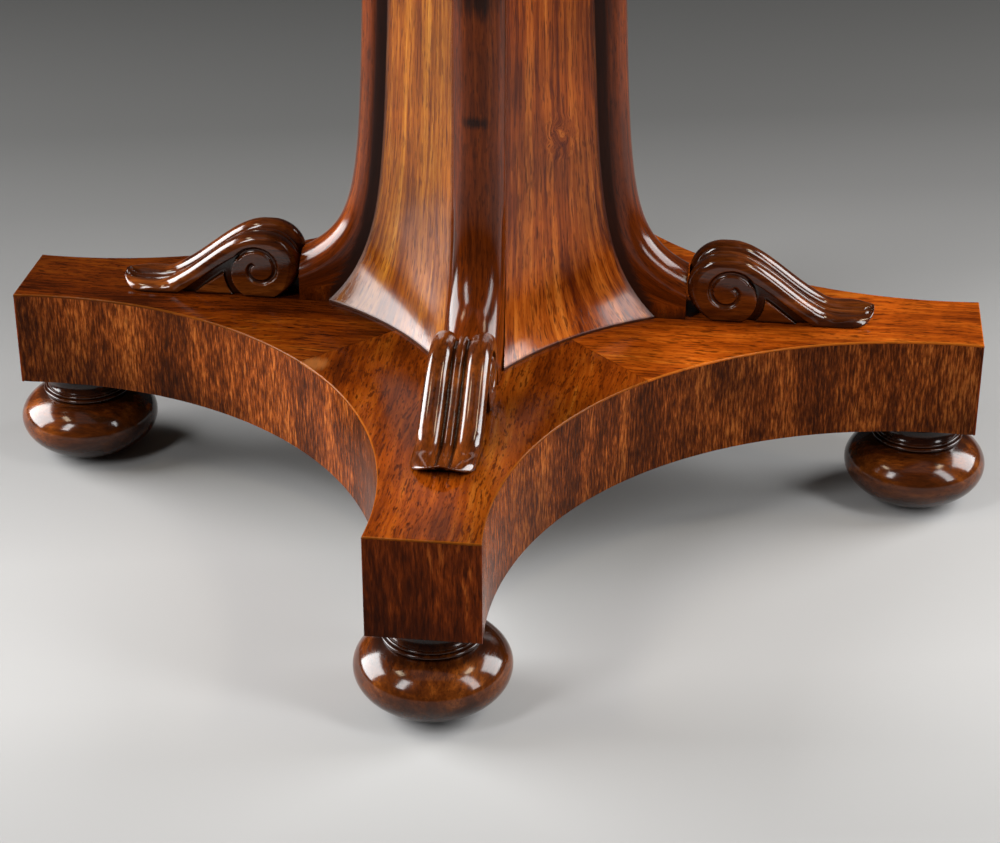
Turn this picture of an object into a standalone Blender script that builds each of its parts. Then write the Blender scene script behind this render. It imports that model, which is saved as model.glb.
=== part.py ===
"""Tip-up chess table: concave-sided platform on bun feet, flared square column with
corner ribs and scroll brackets, and a tilting chequered top on a pivot block."""
import math

import bmesh
import bpy
from mathutils import Matrix, Vector

# Fits: a glue line or seat, a sliding clearance, and a saw-cut veneer
GLUE = 0.0003
SLIDE = 0.0005
VENEER = 0.0015

# Platform: arms on the diagonals, concave sides centred on the X and Y axes
ARM_REACH = 0.300
ARM_HALF = 0.0315
WAIST = 0.1455
PLATFORM_TOP = 0.120
PLATFORM_DEPTH = 0.061
BAY_STEPS = 18

# Bun feet, turned with a spigot that enters a socket in the platform
FOOT_INSET = 0.0333
FOOT_RADIUS = 0.0438
FOOT_MIDDLE = 0.0237
FOOT_CROWN = 0.0231
FOOT_FLAT = 0.016
NECK_RADIUS = 0.0236
NECK_BEAD = 0.0280
NECK_SEAT = 0.0262
NECK_STEP = 0.0006
COVE_RISE = 0.0062
BEAD_RISE = 0.0028
BEAD_WIDE = 0.0018
BEAD_HIGH = 0.0024
CROWN_TUCK = 0.0005
SPIGOT_RADIUS = 0.011
SPIGOT_LENGTH = 0.030
TURNED_STEPS = 24

# Column: square core, four shaped faces, four corner ribs
COLUMN_TOP = 0.640
CORE_HALF = 0.0315
FOOT_TENON = 0.021
HEAD_TENON = 0.021
TENON_CHAMFER = 0.003
TENON_SHORT = 0.001
OVERCUT = 0.01
WEDGE_DEPTH = 0.030
WEDGE_THICK = 0.0045
WEDGE_THIN = 0.0012
WEDGE_AT = 0.009
FACE_HALF = 0.0594
FACE_TAPER = 0.0285
FACE_FLARE = 0.0264
FACE_FADE = 0.033
HOLLOW_TOP = 0.0008
HOLLOW_FOOT = 0.0082
RIB_HALF = 0.0156
RIB_SPREAD = 0.0030
RIB_PROUD = 0.0135
RIB_END = 0.120
CREST_BASE = 0.0840
CREST_TAPER = 0.031
CREST_FLARE = 0.0354
CREST_FADE = 0.039
CREST_SWEEP = 0.162
CREST_TURN = 0.0135

# Scroll brackets lying along the arms
VOLUTE_RADIUS = 0.0210
VOLUTE_HEIGHT = 0.0205
OGEE_LEAD = 0.0044
TAIL_LOW = 0.2166
TAIL_DEPTH = 0.0050
TAIL_EDGE = 0.0014
TAIL_CURL = 0.0179
TIP_LIFT = 0.0014
TIP_ARCH = 0.0036
LIP_THICK = 0.0018
TOE_BACK = 0.0085
TIP_CORNER = 0.0085
SCROLL_HALF = 0.0178
SPANDREL_HALF = 0.0133
BAND_DEPTH = 0.0110
LOBE_EDGE = 0.0058
LOBE_VALLEY = 0.0046
LOBE_RIDGE = 0.0022
CURL_RADIUS = 0.0165
CURL_FORWARD = 0.0012
CURL_DROP = 0.006

# Collar, pivot block, bearers and catch under the top
COLLAR_HEIGHT = 0.028
COLLAR_FOOT = 0.0520
COLLAR_HEAD = 0.0750
COLLAR_STEP = 0.005
COLLAR_COVE = 0.015
COLLAR_QUIRK = 0.002
COLLAR_LIP = 0.021
BLOCK_HALF = 0.080
BLOCK_DEPTH = 0.0317
PIVOT_BACK = 0.062
PIVOT_DROP = 0.0170
PIVOT_ROUND = 0.0167
PIN_RADIUS = 0.006
PIN_IN_BLOCK = 0.022
PIN_SHY = 0.002
BEARER_WIDE = 0.034
BEARER_DEEP = 0.034
BEARER_GAP = 0.001
BEARER_BEHIND = 0.092
BEARER_AHEAD = 0.200
BEARER_NOSE = 0.03
SCREW_RADIUS = 0.0024
SCREW_HEAD = 0.0046
SCREW_BITE = 0.012
SINK_TOP = 0.0045
SINK_EDGE = 0.0017
SCREW_TIP = 0.003
SCREW_SHY = 0.0006
SCREW_AT = (-0.012, 0.172)
CATCH_WIDE = 0.028
CATCH_LONG = 0.034
CATCH_PLATE = 0.0016
CATCH_AHEAD = 0.090
SLEEVE_WALL = 0.0022
BOLT_WIDE = 0.008
BOLT_DEEP = 0.005
BOLT_LONG = 0.061
BOLT_AHEAD = 0.084
BOLT_THROW = 0.012
WELL_SPARE = 0.004
KNOB_RADIUS = 0.0040
KNOB_DROP = 0.010
KNOB_BACK = 0.0065
KEEPER_HIGH = 0.014
KEEPER_WIDE = 0.024
KEEPER_THICK = 0.0015

# Top: eight-by-eight field, stringing, crossbanded border, moulded edge
SQUARE = 0.045
RANKS = 8
INLAY = 0.0002
CORNER_CLIP = 0.0010
CORNER_TIE = 0.0008
STRING = 0.003
BORDER = 0.070
EDGE = 0.017
PANEL_DEEP = 0.018
SHEET = 0.0010
FIELD_DEEP = 0.0024
EDGE_DEEP = 0.0260
EDGE_RETURN = 0.006
NOSE_RADIUS = 0.0085
NOSE_DROP = 0.0105

# Heights that follow from the sizes above
PLATFORM_BASE = PLATFORM_TOP - PLATFORM_DEPTH
FOOT_AT = ARM_REACH - FOOT_INSET
VENEER_BED = PLATFORM_TOP - VENEER - GLUE
SEAT = PLATFORM_TOP + GLUE
COLLAR_BASE = COLUMN_TOP + GLUE
COLLAR_TOP = COLLAR_BASE + COLLAR_HEIGHT
BLOCK_BASE = COLLAR_TOP + GLUE
BLOCK_TOP = BLOCK_BASE + BLOCK_DEPTH
UNDERSIDE = BLOCK_TOP + GLUE
PIVOT_Z = UNDERSIDE - PIVOT_DROP
PANEL_TOP = UNDERSIDE + PANEL_DEEP
FIELD_BED = PANEL_TOP + GLUE
FIELD_TOP = FIELD_BED + FIELD_DEEP
FIELD_HALF = SQUARE * RANKS / 2
STRING_HALF = FIELD_HALF + STRING
PANEL_HALF = STRING_HALF + BORDER
TOP_HALF = PANEL_HALF + EDGE

# The concave side is an arc through the waist and the two arm corners
CORNER_X = (ARM_REACH + ARM_HALF) / math.sqrt(2)
CORNER_Y = (ARM_REACH - ARM_HALF) / math.sqrt(2)
BAY_CENTRE = (CORNER_X ** 2 + CORNER_Y ** 2 - WAIST ** 2) / (2 * (CORNER_X - WAIST))
BAY_RADIUS = BAY_CENTRE - WAIST

ARM_NAMES = ("ne", "nw", "sw", "se")
SIDE_NAMES = ("e", "n", "w", "s")

for old in list(bpy.data.objects):
    bpy.data.objects.remove(old, do_unlink=True)


def finish(name, colour, roughness, metallic=0.0):
    made = bpy.data.materials.new(name)
    made.use_nodes = True
    shader = made.node_tree.nodes["Principled BSDF"]
    shader.inputs["Base Color"].default_value = (colour[0], colour[1], colour[2], 1.0)
    shader.inputs["Roughness"].default_value = roughness
    shader.inputs["Metallic"].default_value = metallic
    return made


def piece(name, bm, look, smooth=False, parent=None):
    bmesh.ops.recalc_face_normals(bm, faces=bm.faces)
    mesh = bpy.data.meshes.new(name)
    bm.to_mesh(mesh)
    bm.free()
    for face in mesh.polygons:
        face.use_smooth = smooth
    mesh.materials.append(look)
    made = bpy.data.objects.new(name, mesh)
    bpy.context.scene.collection.objects.link(made)
    if parent is not None:
        made.parent = parent
        made.matrix_parent_inverse = Matrix.Translation(-parent.location)
    return made


def pivot(name, location):
    made = bpy.data.objects.new(name, None)
    made.location = location
    bpy.context.scene.collection.objects.link(made)
    return made


def boolean(target, tool_bm, kind="DIFFERENCE"):
    tool = piece(target.name + "_tool", tool_bm, target.data.materials[0])
    tool.hide_render = True
    tool.display_type = "WIRE"
    step = target.modifiers.new(kind.lower(), "BOOLEAN")
    step.operation = kind
    step.solver = "EXACT"
    step.object = tool


def loft(rings, bm=None):
    """Closed skin through rings of equal length, capped at both ends."""
    if bm is None:
        bm = bmesh.new()
    loops = [[bm.verts.new(point) for point in ring] for ring in rings]
    count = len(loops[0])
    for low, high in zip(loops, loops[1:]):
        for i in range(count):
            j = (i + 1) % count
            bm.faces.new((low[i], low[j], high[j], high[i]))
    bm.faces.new(list(reversed(loops[0])))
    bm.faces.new(loops[-1])
    return bm


def prism(outline, low, high, bm=None):
    """Plan outline carried from one height to another."""
    rings = [[(x, y, z) for x, y in outline] for z in (low, high)]
    return loft(rings, bm)


def box(low, high, bm=None):
    outline = ((low[0], low[1]), (high[0], low[1]), (high[0], high[1]), (low[0], high[1]))
    return prism(outline, low[2], high[2], bm)


def turned(profile, steps, centre, bm=None):
    """Lathe form about an upright axis; profile is (radius, height), top to bottom."""
    rings = []
    for radius, height in profile:
        ring = []
        for i in range(steps):
            angle = math.tau * i / steps
            ring.append((centre[0] + radius * math.cos(angle), centre[1] + radius * math.sin(angle), height))
        rings.append(ring)
    return loft(rings, bm)


def rod_x(radius, steps, low_x, high_x, y, z, bm=None):
    """Round rod lying along X."""
    rings = []
    for x in (low_x, high_x):
        ring = []
        for i in range(steps):
            angle = math.tau * i / steps
            ring.append((x, y + radius * math.cos(angle), z + radius * math.sin(angle)))
        rings.append(ring)
    return loft(rings, bm)


def square_ring(profile):
    """Mitred square frame about the Z axis; profile is (half width, height)."""
    bm = bmesh.new()
    loops = []
    for side in ((1, 1), (-1, 1), (-1, -1), (1, -1)):
        loops.append([bm.verts.new((side[0] * h, side[1] * h, z)) for h, z in profile])
    count = len(profile)
    for k in range(4):
        here = loops[k]
        there = loops[(k + 1) % 4]
        for i in range(count):
            j = (i + 1) % count
            bm.faces.new((here[i], here[j], there[j], there[i]))
    return bm


def turn(bm, quarter, extra=0.0):
    spin = Matrix.Rotation(quarter * math.pi / 2 + extra, 4, "Z")
    bmesh.ops.transform(bm, matrix=spin, verts=bm.verts)
    return bm


def bay_arc(inset, end, start=-1.0, stop=1.0):
    """Concave side of the +X bay, inset into the wood and ending at an arm distance."""
    radius = BAY_RADIUS + inset
    reach = math.pi / 4 + math.asin((math.sqrt(2) * end - BAY_CENTRE) / (radius * math.sqrt(2)))
    steps = max(2, round(BAY_STEPS * (stop - start) / 2))
    points = []
    for i in range(steps + 1):
        angle = reach * (start + (stop - start) * i / steps)
        points.append((BAY_CENTRE - radius * math.cos(angle), radius * math.sin(angle)))
    return points


def rotated(points, quarter):
    c = (1, 0, -1, 0)[quarter % 4]
    s = (0, 1, 0, -1)[quarter % 4]
    return [(c * x - s * y, s * x + c * y) for x, y in points]


PINE = finish("pine_core", (0.42, 0.27, 0.13), 0.7)
VENEER_LOOK = finish("rosewood_veneer", (0.26, 0.085, 0.025), 0.25)
CARVED = finish("rosewood_carved", (0.14, 0.045, 0.016), 0.22)
FACE_LOOK = finish("rosewood_face", (0.33, 0.115, 0.03), 0.25)
BEECH = finish("beech", (0.45, 0.28, 0.14), 0.6)
MAHOGANY = finish("mahogany", (0.24, 0.09, 0.04), 0.5)
MAPLE = finish("maple_square", (0.66, 0.46, 0.22), 0.3)
DARK = finish("rosewood_square", (0.10, 0.032, 0.014), 0.3)
BOXWOOD = finish("boxwood_string", (0.62, 0.42, 0.16), 0.35)
BRASS = finish("brass", (0.72, 0.50, 0.20), 0.3, 1.0)
STEEL = finish("steel_screw", (0.35, 0.34, 0.33), 0.45, 1.0)

# Platform core with the column mortise and the four foot sockets
outline = []
for k in range(4):
    outline += rotated(bay_arc(VENEER + GLUE, ARM_REACH - VENEER - GLUE), k)
core = piece("platform_core", prism(outline, PLATFORM_BASE, VENEER_BED), PINE)
mortise = FOOT_TENON + GLUE
bore = box((-mortise, -mortise, PLATFORM_BASE - OVERCUT), (mortise, mortise, PLATFORM_TOP))
for k in range(4):
    angle = math.pi / 4 + k * math.pi / 2
    spot = (FOOT_AT * math.cos(angle), FOOT_AT * math.sin(angle))
    socket = ((SPIGOT_RADIUS + GLUE, PLATFORM_BASE + SPIGOT_LENGTH + GLUE),
              (SPIGOT_RADIUS + GLUE, PLATFORM_BASE - OVERCUT))
    turned(socket, TURNED_STEPS, spot, bore)
boolean(core, bore)

# Veneers of the platform: sides, ends, and one top leaf to each arm mitred at the waist
for k in range(4):
    sheet = bay_arc(0.0, ARM_REACH - VENEER - GLUE)
    sheet += list(reversed(bay_arc(VENEER, ARM_REACH - VENEER - GLUE)))
    bm = turn(prism(sheet, PLATFORM_BASE, VENEER_BED), k)
    piece("platform_side_veneer_" + SIDE_NAMES[k], bm, VENEER_LOOK, True)
for k in range(4):
    low = (ARM_REACH - VENEER, -ARM_HALF, PLATFORM_BASE)
    high = (ARM_REACH, ARM_HALF, VENEER_BED)
    piece("platform_end_veneer_" + ARM_NAMES[k], turn(box(low, high), k, math.pi / 4), VENEER_LOOK)
for k in range(4):
    lift = GLUE / 2
    first = [(x, max(y, lift)) for x, y in bay_arc(0.0, ARM_REACH, 0.0, 1.0)]
    second = [(max(x, lift), y) for x, y in rotated(bay_arc(0.0, ARM_REACH, -1.0, 0.0), 1)]
    leaf = first + second + [(lift, mortise), (mortise, mortise), (mortise, lift)]
    bm = turn(prism(leaf, PLATFORM_TOP - VENEER, PLATFORM_TOP), k)
    piece("platform_top_veneer_" + ARM_NAMES[k], bm, VENEER_LOOK)

# Bun feet
lower = FOOT_MIDDLE / math.sqrt(1 - (FOOT_FLAT / FOOT_RADIUS) ** 2)
crown = FOOT_MIDDLE + FOOT_CROWN * math.sqrt(1 - (NECK_BEAD / FOOT_RADIUS) ** 2)
neck_top = PLATFORM_BASE - GLUE
cove = crown + COVE_RISE
shape = [(SPIGOT_RADIUS, PLATFORM_BASE + SPIGOT_LENGTH), (SPIGOT_RADIUS, neck_top), (NECK_SEAT, neck_top)]
for i in range(1, 4):
    part = i / 4
    dip = math.sin(math.pi * part)
    shape.append((NECK_SEAT - (NECK_SEAT - NECK_RADIUS) * dip, neck_top + (cove - neck_top) * part))
shape.append((NECK_SEAT - NECK_STEP, cove))
for i in range(3):
    angle = math.radians(55 - 55 * i)
    out = NECK_BEAD - BEAD_WIDE + BEAD_WIDE * math.cos(angle)
    shape.append((out, crown + BEAD_RISE + BEAD_HIGH * math.sin(angle)))
for i in range(10):
    angle = math.acos((NECK_BEAD - CROWN_TUCK) / FOOT_RADIUS) * (1 - i / 4)
    if i > 4:
        angle = -math.acos(FOOT_FLAT / FOOT_RADIUS) * (i - 4) / 5
    height = FOOT_CROWN if angle > 0 else lower
    shape.append((FOOT_RADIUS * math.cos(angle), max(0.0, FOOT_MIDDLE + height * math.sin(angle))))
for k in range(4):
    angle = math.pi / 4 + k * math.pi / 2
    spot = (FOOT_AT * math.cos(angle), FOOT_AT * math.sin(angle))
    piece("bun_foot_" + ARM_NAMES[k], turned(shape, TURNED_STEPS, spot), CARVED, True)


def octagon(half, cut):
    edge = half - cut
    return ((half, -edge), (half, edge), (edge, half), (-edge, half),
            (-half, edge), (-half, -edge), (-edge, -half), (edge, -half))


# Column core: post with a wedged tenon through the platform and one into the block
post_cut = RIB_HALF * math.sqrt(2)
kerf_floor = PLATFORM_BASE + TENON_SHORT
steps = ((FOOT_TENON, TENON_CHAMFER, kerf_floor), (FOOT_TENON, TENON_CHAMFER, SEAT),
         (CORE_HALF, post_cut, SEAT), (CORE_HALF, post_cut, COLLAR_TOP),
         (HEAD_TENON, TENON_CHAMFER, COLLAR_TOP), (HEAD_TENON, TENON_CHAMFER, BLOCK_TOP - TENON_SHORT))
rings = [[(x, y, z) for x, y in octagon(half, cut)] for half, cut, z in steps]
post = piece("column_core", loft(rings), PINE)


def wedge(side, grow, below, bm=None):
    """Tapered oak key driven up into the end of the tenon."""
    thick = WEDGE_THICK / 2 + grow
    thin = WEDGE_THIN / 2 + grow
    length = FOOT_TENON + (OVERCUT if below else -TENON_CHAMFER)
    middle = side * WEDGE_AT
    floor = kerf_floor - (OVERCUT / 2 if below else 0.0)
    rings = []
    for y in (-length, length):
        rings.append([(middle - thick, y, floor), (middle + thick, y, floor),
                      (middle + thin, y, kerf_floor + WEDGE_DEPTH + grow),
                      (middle - thin, y, kerf_floor + WEDGE_DEPTH + grow)])
    return loft(rings, bm)


kerfs = wedge(1, GLUE, True)
wedge(-1, GLUE, True, kerfs)
boolean(post, kerfs)
piece("tenon_wedge_1", wedge(1, 0.0, False), BEECH)
piece("tenon_wedge_2", wedge(-1, 0.0, False), BEECH)


def face_edge(z):
    """Half width across the column where a face meets its ribs."""
    return FACE_HALF - FACE_TAPER * z + FACE_FLARE * math.exp(-z / FACE_FADE)


def face_hollow(z):
    return HOLLOW_TOP + HOLLOW_FOOT * math.exp(-z / FACE_FADE)


def rib_half(z):
    return RIB_HALF + RIB_SPREAD * math.exp(-z / FACE_FADE)


def crest(z):
    """Distance of the rib's crest from the axis, measured along the diagonal."""
    flare = CREST_FLARE * math.exp(-z / CREST_FADE)
    return CREST_BASE - CREST_TAPER * z + flare + CREST_SWEEP * math.exp(-z / CREST_TURN)


# Four column faces, hollowed in plan and flared to the platform
height = COLUMN_TOP - SEAT
for k in range(4):
    rings = []
    for i in range(15):
        z = height * (i / 14) ** 2.2
        inner = CORE_HALF + GLUE
        offset = math.sqrt(2) * (rib_half(z) + GLUE)
        edge = face_edge(z)
        ring = [(inner, offset - inner, SEAT + z)]
        for j in range(7):
            across = j / 3 - 1
            ring.append((edge - face_hollow(z) * (1 - across ** 2), across * (edge - offset), SEAT + z))
        ring.append((inner, inner - offset, SEAT + z))
        rings.append(ring)
    piece("column_face_" + SIDE_NAMES[k], turn(loft(rings), k), FACE_LOOK, True)

# Four corner ribs: half-round section swept down the corner and out to the scroll
rib_seat = math.sqrt(2) * CORE_HALF - RIB_HALF + GLUE
SECTION = (-1.0, -0.94, -0.76, -0.5, 0.0, 0.5, 0.76, 0.94, 1.0)
low_crest = CREST_TURN * 1.35
for k in range(4):
    rings = []
    for i in range(19):
        z = low_crest + (height - low_crest) * (1 - i / 18) ** 2.4
        slope = (crest(z + 1e-5) - crest(z - 1e-5)) / 2e-5
        long = math.sqrt(1 + slope * slope)
        half = rib_half(z)
        base_u = rib_seat
        ring = [(base_u, -half, SEAT + z)]
        for across in SECTION:
            sink = RIB_PROUD * (1 - math.sqrt(max(0.0, 1 - across * across)))
            lifted = z + sink * slope / long
            if i == 0:
                lifted = z
            ring.append((crest(z) - sink / long, across * half, SEAT + max(lifted, -0.02)))
        ring.append((base_u, half, SEAT + z))
        rings.append(ring)
    rings.append([(u, v, SEAT - 0.03) for u, v, z in rings[-1]])
    bm = loft(rings)
    for spot, way in (((0, 0, SEAT), (0, 0, -1)), ((RIB_END, 0, 0), (1, 0, 0))):
        everything = bm.verts[:] + bm.edges[:] + bm.faces[:]
        found = bmesh.ops.bisect_plane(bm, geom=everything, plane_co=spot, plane_no=way, clear_outer=True)
        rim = [e for e in found["geom_cut"] if isinstance(e, bmesh.types.BMEdge)]
        bmesh.ops.contextual_create(bm, geom=rim)
    piece("corner_rib_" + ARM_NAMES[k], turn(bm, k, math.pi / 4), CARVED, True)

# Scroll brackets: an S-shaped lobed band curling into a volute, with a sunk spandrel
volute_at = RIB_END + GLUE + VOLUTE_RADIUS
volute_top = VOLUTE_HEIGHT + VOLUTE_RADIUS
tail_tip = TAIL_LOW + TAIL_CURL


def ogee(u):
    """Height of the band's crest from the volute's top out to the tip."""
    lead = volute_at + OGEE_LEAD
    if u <= TAIL_LOW:
        part = max(0.0, (u - lead) / (TAIL_LOW - lead))
        return volute_top - (volute_top - TAIL_DEPTH) * part * part * (3 - 2 * part)
    return TAIL_DEPTH + TIP_LIFT * ((u - TAIL_LOW) / TAIL_CURL) ** 2


ACROSS = (-1.0, -0.9, -0.62, -0.34, -0.16, 0.0, 0.16, 0.34, 0.62, 0.9, 1.0)
SINK = (LOBE_EDGE, 0.5 * LOBE_EDGE, 0.0, 0.12 * LOBE_EDGE, LOBE_VALLEY, LOBE_RIDGE,
        LOBE_VALLEY, 0.12 * LOBE_EDGE, 0.0, 0.5 * LOBE_EDGE, LOBE_EDGE)
start = math.pi + math.asin(VOLUTE_HEIGHT / VOLUTE_RADIUS)
spine = []
for i in range(11):
    angle = start + (math.pi / 2 - start) * i / 10
    fade = min(1.0, i / 3)
    normal = (-math.cos(angle), -math.sin(angle))
    spine.append((volute_at + VOLUTE_RADIUS * math.cos(angle),
                  VOLUTE_HEIGHT + VOLUTE_RADIUS * math.sin(angle), normal, fade))
for i in range(1, 15):
    u = volute_at + (tail_tip - volute_at) * i / 14
    slope = (ogee(u + 1e-5) - ogee(u - 1e-5)) / 2e-5
    long = math.sqrt(1 + slope * slope)
    fade = min(1.0, (ogee(u) - TAIL_EDGE) / LOBE_EDGE)
    spine.append((u, ogee(u), (slope / long, -1 / long), fade))
for k in range(4):
    bm = bmesh.new()
    rings = []
    for u, z, normal, fade in spine:
        tail = max(0.0, (u - TAIL_LOW) / TAIL_CURL) ** 2
        ring = []
        for across, lobe in zip(ACROSS, SINK):
            back = TIP_CORNER * tail * across ** 4
            sink = lobe * fade * (1 - tail) + TIP_ARCH * across ** 2 * tail
            point = (u + normal[0] * sink - back, across * SCROLL_HALF, SEAT + z + normal[1] * sink)
            ring.append(bm.verts.new(point))
        rings.append(ring)
    rings.append([bm.verts.new(v.co - Vector((0, 0, LIP_THICK))) for v in rings[-1]])
    toe = tail_tip - TOE_BACK
    rings.append([bm.verts.new((toe - TIP_CORNER * a ** 4, a * SCROLL_HALF, SEAT)) for a in ACROSS])
    for low, high in zip(rings, rings[1:]):
        for i in range(len(low) - 1):
            bm.faces.new((low[i], low[i + 1], high[i + 1], high[i]))
    notch = []
    first = volute_at
    while ogee(first) > BAND_DEPTH:
        first += 0.0001
    for i in range(7):
        u = first + (volute_at + CURL_RADIUS * 0.9 - first) * i / 6
        notch.append((u, max(0.0, ogee(u) - BAND_DEPTH)))
    curl = (volute_at + CURL_FORWARD, VOLUTE_HEIGHT - CURL_DROP)
    last = notch[-1]
    swing = math.atan2(last[1] - curl[1], last[0] - curl[0])
    foot = -math.asin(min(1.0, curl[1] / CURL_RADIUS)) if curl[1] < CURL_RADIUS else -math.pi / 2
    begin = math.hypot(last[0] - curl[0], last[1] - curl[1])
    for i in range(1, 9):
        part = i / 8
        angle = swing + (foot - swing) * part
        radius = begin + (CURL_RADIUS - begin) * min(1.0, part * 2)
        notch.append((curl[0] + radius * math.cos(angle), max(0.0, curl[1] + radius * math.sin(angle))))
    notch[-1] = (notch[-1][0], 0.0)
    chains = {}
    for side in (-1, 1):
        outer = [bm.verts.new((u, side * SCROLL_HALF, SEAT + z)) for u, z in notch]
        inner = [bm.verts.new((u, side * SPANDREL_HALF, SEAT + z)) for u, z in notch]
        chains[side] = (outer, inner)
        for i in range(len(notch) - 1):
            bm.faces.new((outer[i], outer[i + 1], inner[i + 1], inner[i]))
        bm.faces.new(inner)
        edge = [ring[0 if side < 0 else -1] for ring in rings]
        bm.faces.new(edge + outer)
    base = list(rings[-1])
    base += [chains[1][0][0], chains[1][1][0], chains[1][1][-1], chains[1][0][-1]]
    base += list(reversed(rings[0]))
    base += [chains[-1][0][-1], chains[-1][1][-1], chains[-1][1][0], chains[-1][0][0]]
    bm.faces.new(base)
    piece("scroll_bracket_" + ARM_NAMES[k], turn(bm, k, math.pi / 4), CARVED, True)

# Collar moulding round the head of the column
bottom = COLLAR_BASE
hole = CORE_HALF + GLUE
shape = [(hole, bottom), (COLLAR_FOOT, bottom), (COLLAR_FOOT, bottom + COLLAR_STEP)]
for i in range(7):
    angle = math.pi / 2 * i / 6
    out = (COLLAR_HEAD - COLLAR_FOOT - 2 * COLLAR_QUIRK) * (1 - math.cos(angle))
    rise = COLLAR_STEP + COLLAR_COVE * math.sin(angle)
    shape.append((COLLAR_FOOT - COLLAR_QUIRK + out, bottom + rise))
shape += [(COLLAR_HEAD, bottom + COLLAR_LIP), (COLLAR_HEAD, COLLAR_TOP), (hole, COLLAR_TOP)]
piece("collar_moulding", square_ring(shape), CARVED)

# Pivot block: one end rounded about the hinge line so the top can swing past it
ROUND_STEPS = 10
dip = math.asin((PIVOT_Z - BLOCK_BASE) / PIVOT_ROUND)
profile = [(BLOCK_HALF, BLOCK_BASE), (BLOCK_HALF, PIVOT_Z + PIVOT_ROUND)]
for i in range(ROUND_STEPS + 1):
    angle = math.pi / 2 + (math.pi / 2 + dip) * i / ROUND_STEPS
    profile.append((-PIVOT_BACK + PIVOT_ROUND * math.cos(angle), PIVOT_Z + PIVOT_ROUND * math.sin(angle)))
rings = [[(x, y, z) for y, z in profile] for x in (-BLOCK_HALF, BLOCK_HALF)]
block = piece("pivot_block", loft(rings), MAHOGANY)
mortise = HEAD_TENON + GLUE
cuts = box((-mortise, -mortise, BLOCK_BASE - OVERCUT), (mortise, mortise, BLOCK_TOP + OVERCUT))
for side in (-1, 1):
    ends = sorted((side * (BLOCK_HALF - PIN_IN_BLOCK - GLUE), side * (BLOCK_HALF + OVERCUT)))
    rod_x(PIN_RADIUS + GLUE, TURNED_STEPS, ends[0], ends[1], -PIVOT_BACK, PIVOT_Z, cuts)
bolt_middle = UNDERSIDE - GLUE - CATCH_PLATE - SLIDE - BOLT_DEEP / 2
keeper_low = BLOCK_TOP - KEEPER_HIGH
pocket = BOLT_WIDE / 2 + SLIDE
box((-KEEPER_WIDE / 2 - GLUE, BLOCK_HALF - KEEPER_THICK - GLUE, keeper_low - GLUE),
    (KEEPER_WIDE / 2 + GLUE, BLOCK_HALF + OVERCUT, BLOCK_TOP + OVERCUT), cuts)
boolean(block, cuts)
well = box((-pocket, BLOCK_HALF - BOLT_THROW - WELL_SPARE, bolt_middle - BOLT_DEEP / 2 - SLIDE),
           (pocket, BLOCK_HALF + OVERCUT, bolt_middle + BOLT_DEEP / 2 + SLIDE))
boolean(block, well)

# Brass keeper let into the block, pierced for the bolt
keeper = piece("catch_keeper", box((-KEEPER_WIDE / 2, BLOCK_HALF - KEEPER_THICK, keeper_low),
                                   (KEEPER_WIDE / 2, BLOCK_HALF, BLOCK_TOP)), BRASS)
boolean(keeper, box((-pocket, BLOCK_HALF - OVERCUT, bolt_middle - BOLT_DEEP / 2 - SLIDE),
                    (pocket, BLOCK_HALF + OVERCUT, bolt_middle + BOLT_DEEP / 2 + SLIDE)))

# Hinge pins fixed in the block
bearer_near = BLOCK_HALF + BEARER_GAP
bearer_far = bearer_near + BEARER_WIDE
for name, side in (("pivot_pin_e", 1), ("pivot_pin_w", -1)):
    ends = sorted((side * (BLOCK_HALF - PIN_IN_BLOCK), side * (bearer_far - PIN_SHY)))
    bm = rod_x(PIN_RADIUS, TURNED_STEPS, ends[0], ends[1], -PIVOT_BACK, PIVOT_Z)
    piece(name, bm, BEECH, True)

# Everything below tilts with the top about the hinge line
hinge = pivot("top_hinge", Vector((0.0, -PIVOT_BACK, PIVOT_Z)))
bearer_high = UNDERSIDE - GLUE
for name, side in (("bearer_e", 1), ("bearer_w", -1)):
    ends = sorted((side * bearer_near, side * bearer_far))
    low = bearer_high - BEARER_DEEP
    toe = bearer_high - BEARER_DEEP * 0.5
    profile = [(-BEARER_BEHIND, low), (BEARER_AHEAD - BEARER_NOSE, low), (BEARER_AHEAD, toe),
               (BEARER_AHEAD, bearer_high), (-BEARER_BEHIND, bearer_high)]
    rings = [[(x, y, z) for y, z in profile] for x in ends]
    batten = piece(name, loft(rings), MAHOGANY, False, hinge)
    holes = rod_x(PIN_RADIUS + SLIDE, TURNED_STEPS, ends[0] - OVERCUT, ends[1] + OVERCUT,
                  -PIVOT_BACK, PIVOT_Z)
    middle = (ends[0] + ends[1]) / 2
    for y in SCREW_AT:
        clear = ((SCREW_RADIUS + GLUE, bearer_high + OVERCUT), (SCREW_RADIUS + GLUE, low + SINK_TOP + GLUE),
                 (SCREW_HEAD + GLUE, low + SINK_EDGE + GLUE), (SCREW_HEAD + GLUE, low - OVERCUT))
        turned(clear, 12, (middle, y), holes)
    boolean(batten, holes)
    for number, y in enumerate(SCREW_AT):
        point = UNDERSIDE + SCREW_BITE
        body = ((SCREW_RADIUS * 0.5, point), (SCREW_RADIUS, point - SCREW_TIP),
                (SCREW_RADIUS, low + SINK_TOP), (SCREW_HEAD, low + SINK_EDGE), (SCREW_HEAD, low + SCREW_SHY))
        piece(name + "_screw_%d" % (number + 1), turned(body, 12, (middle, y)), STEEL, True, hinge)

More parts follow.
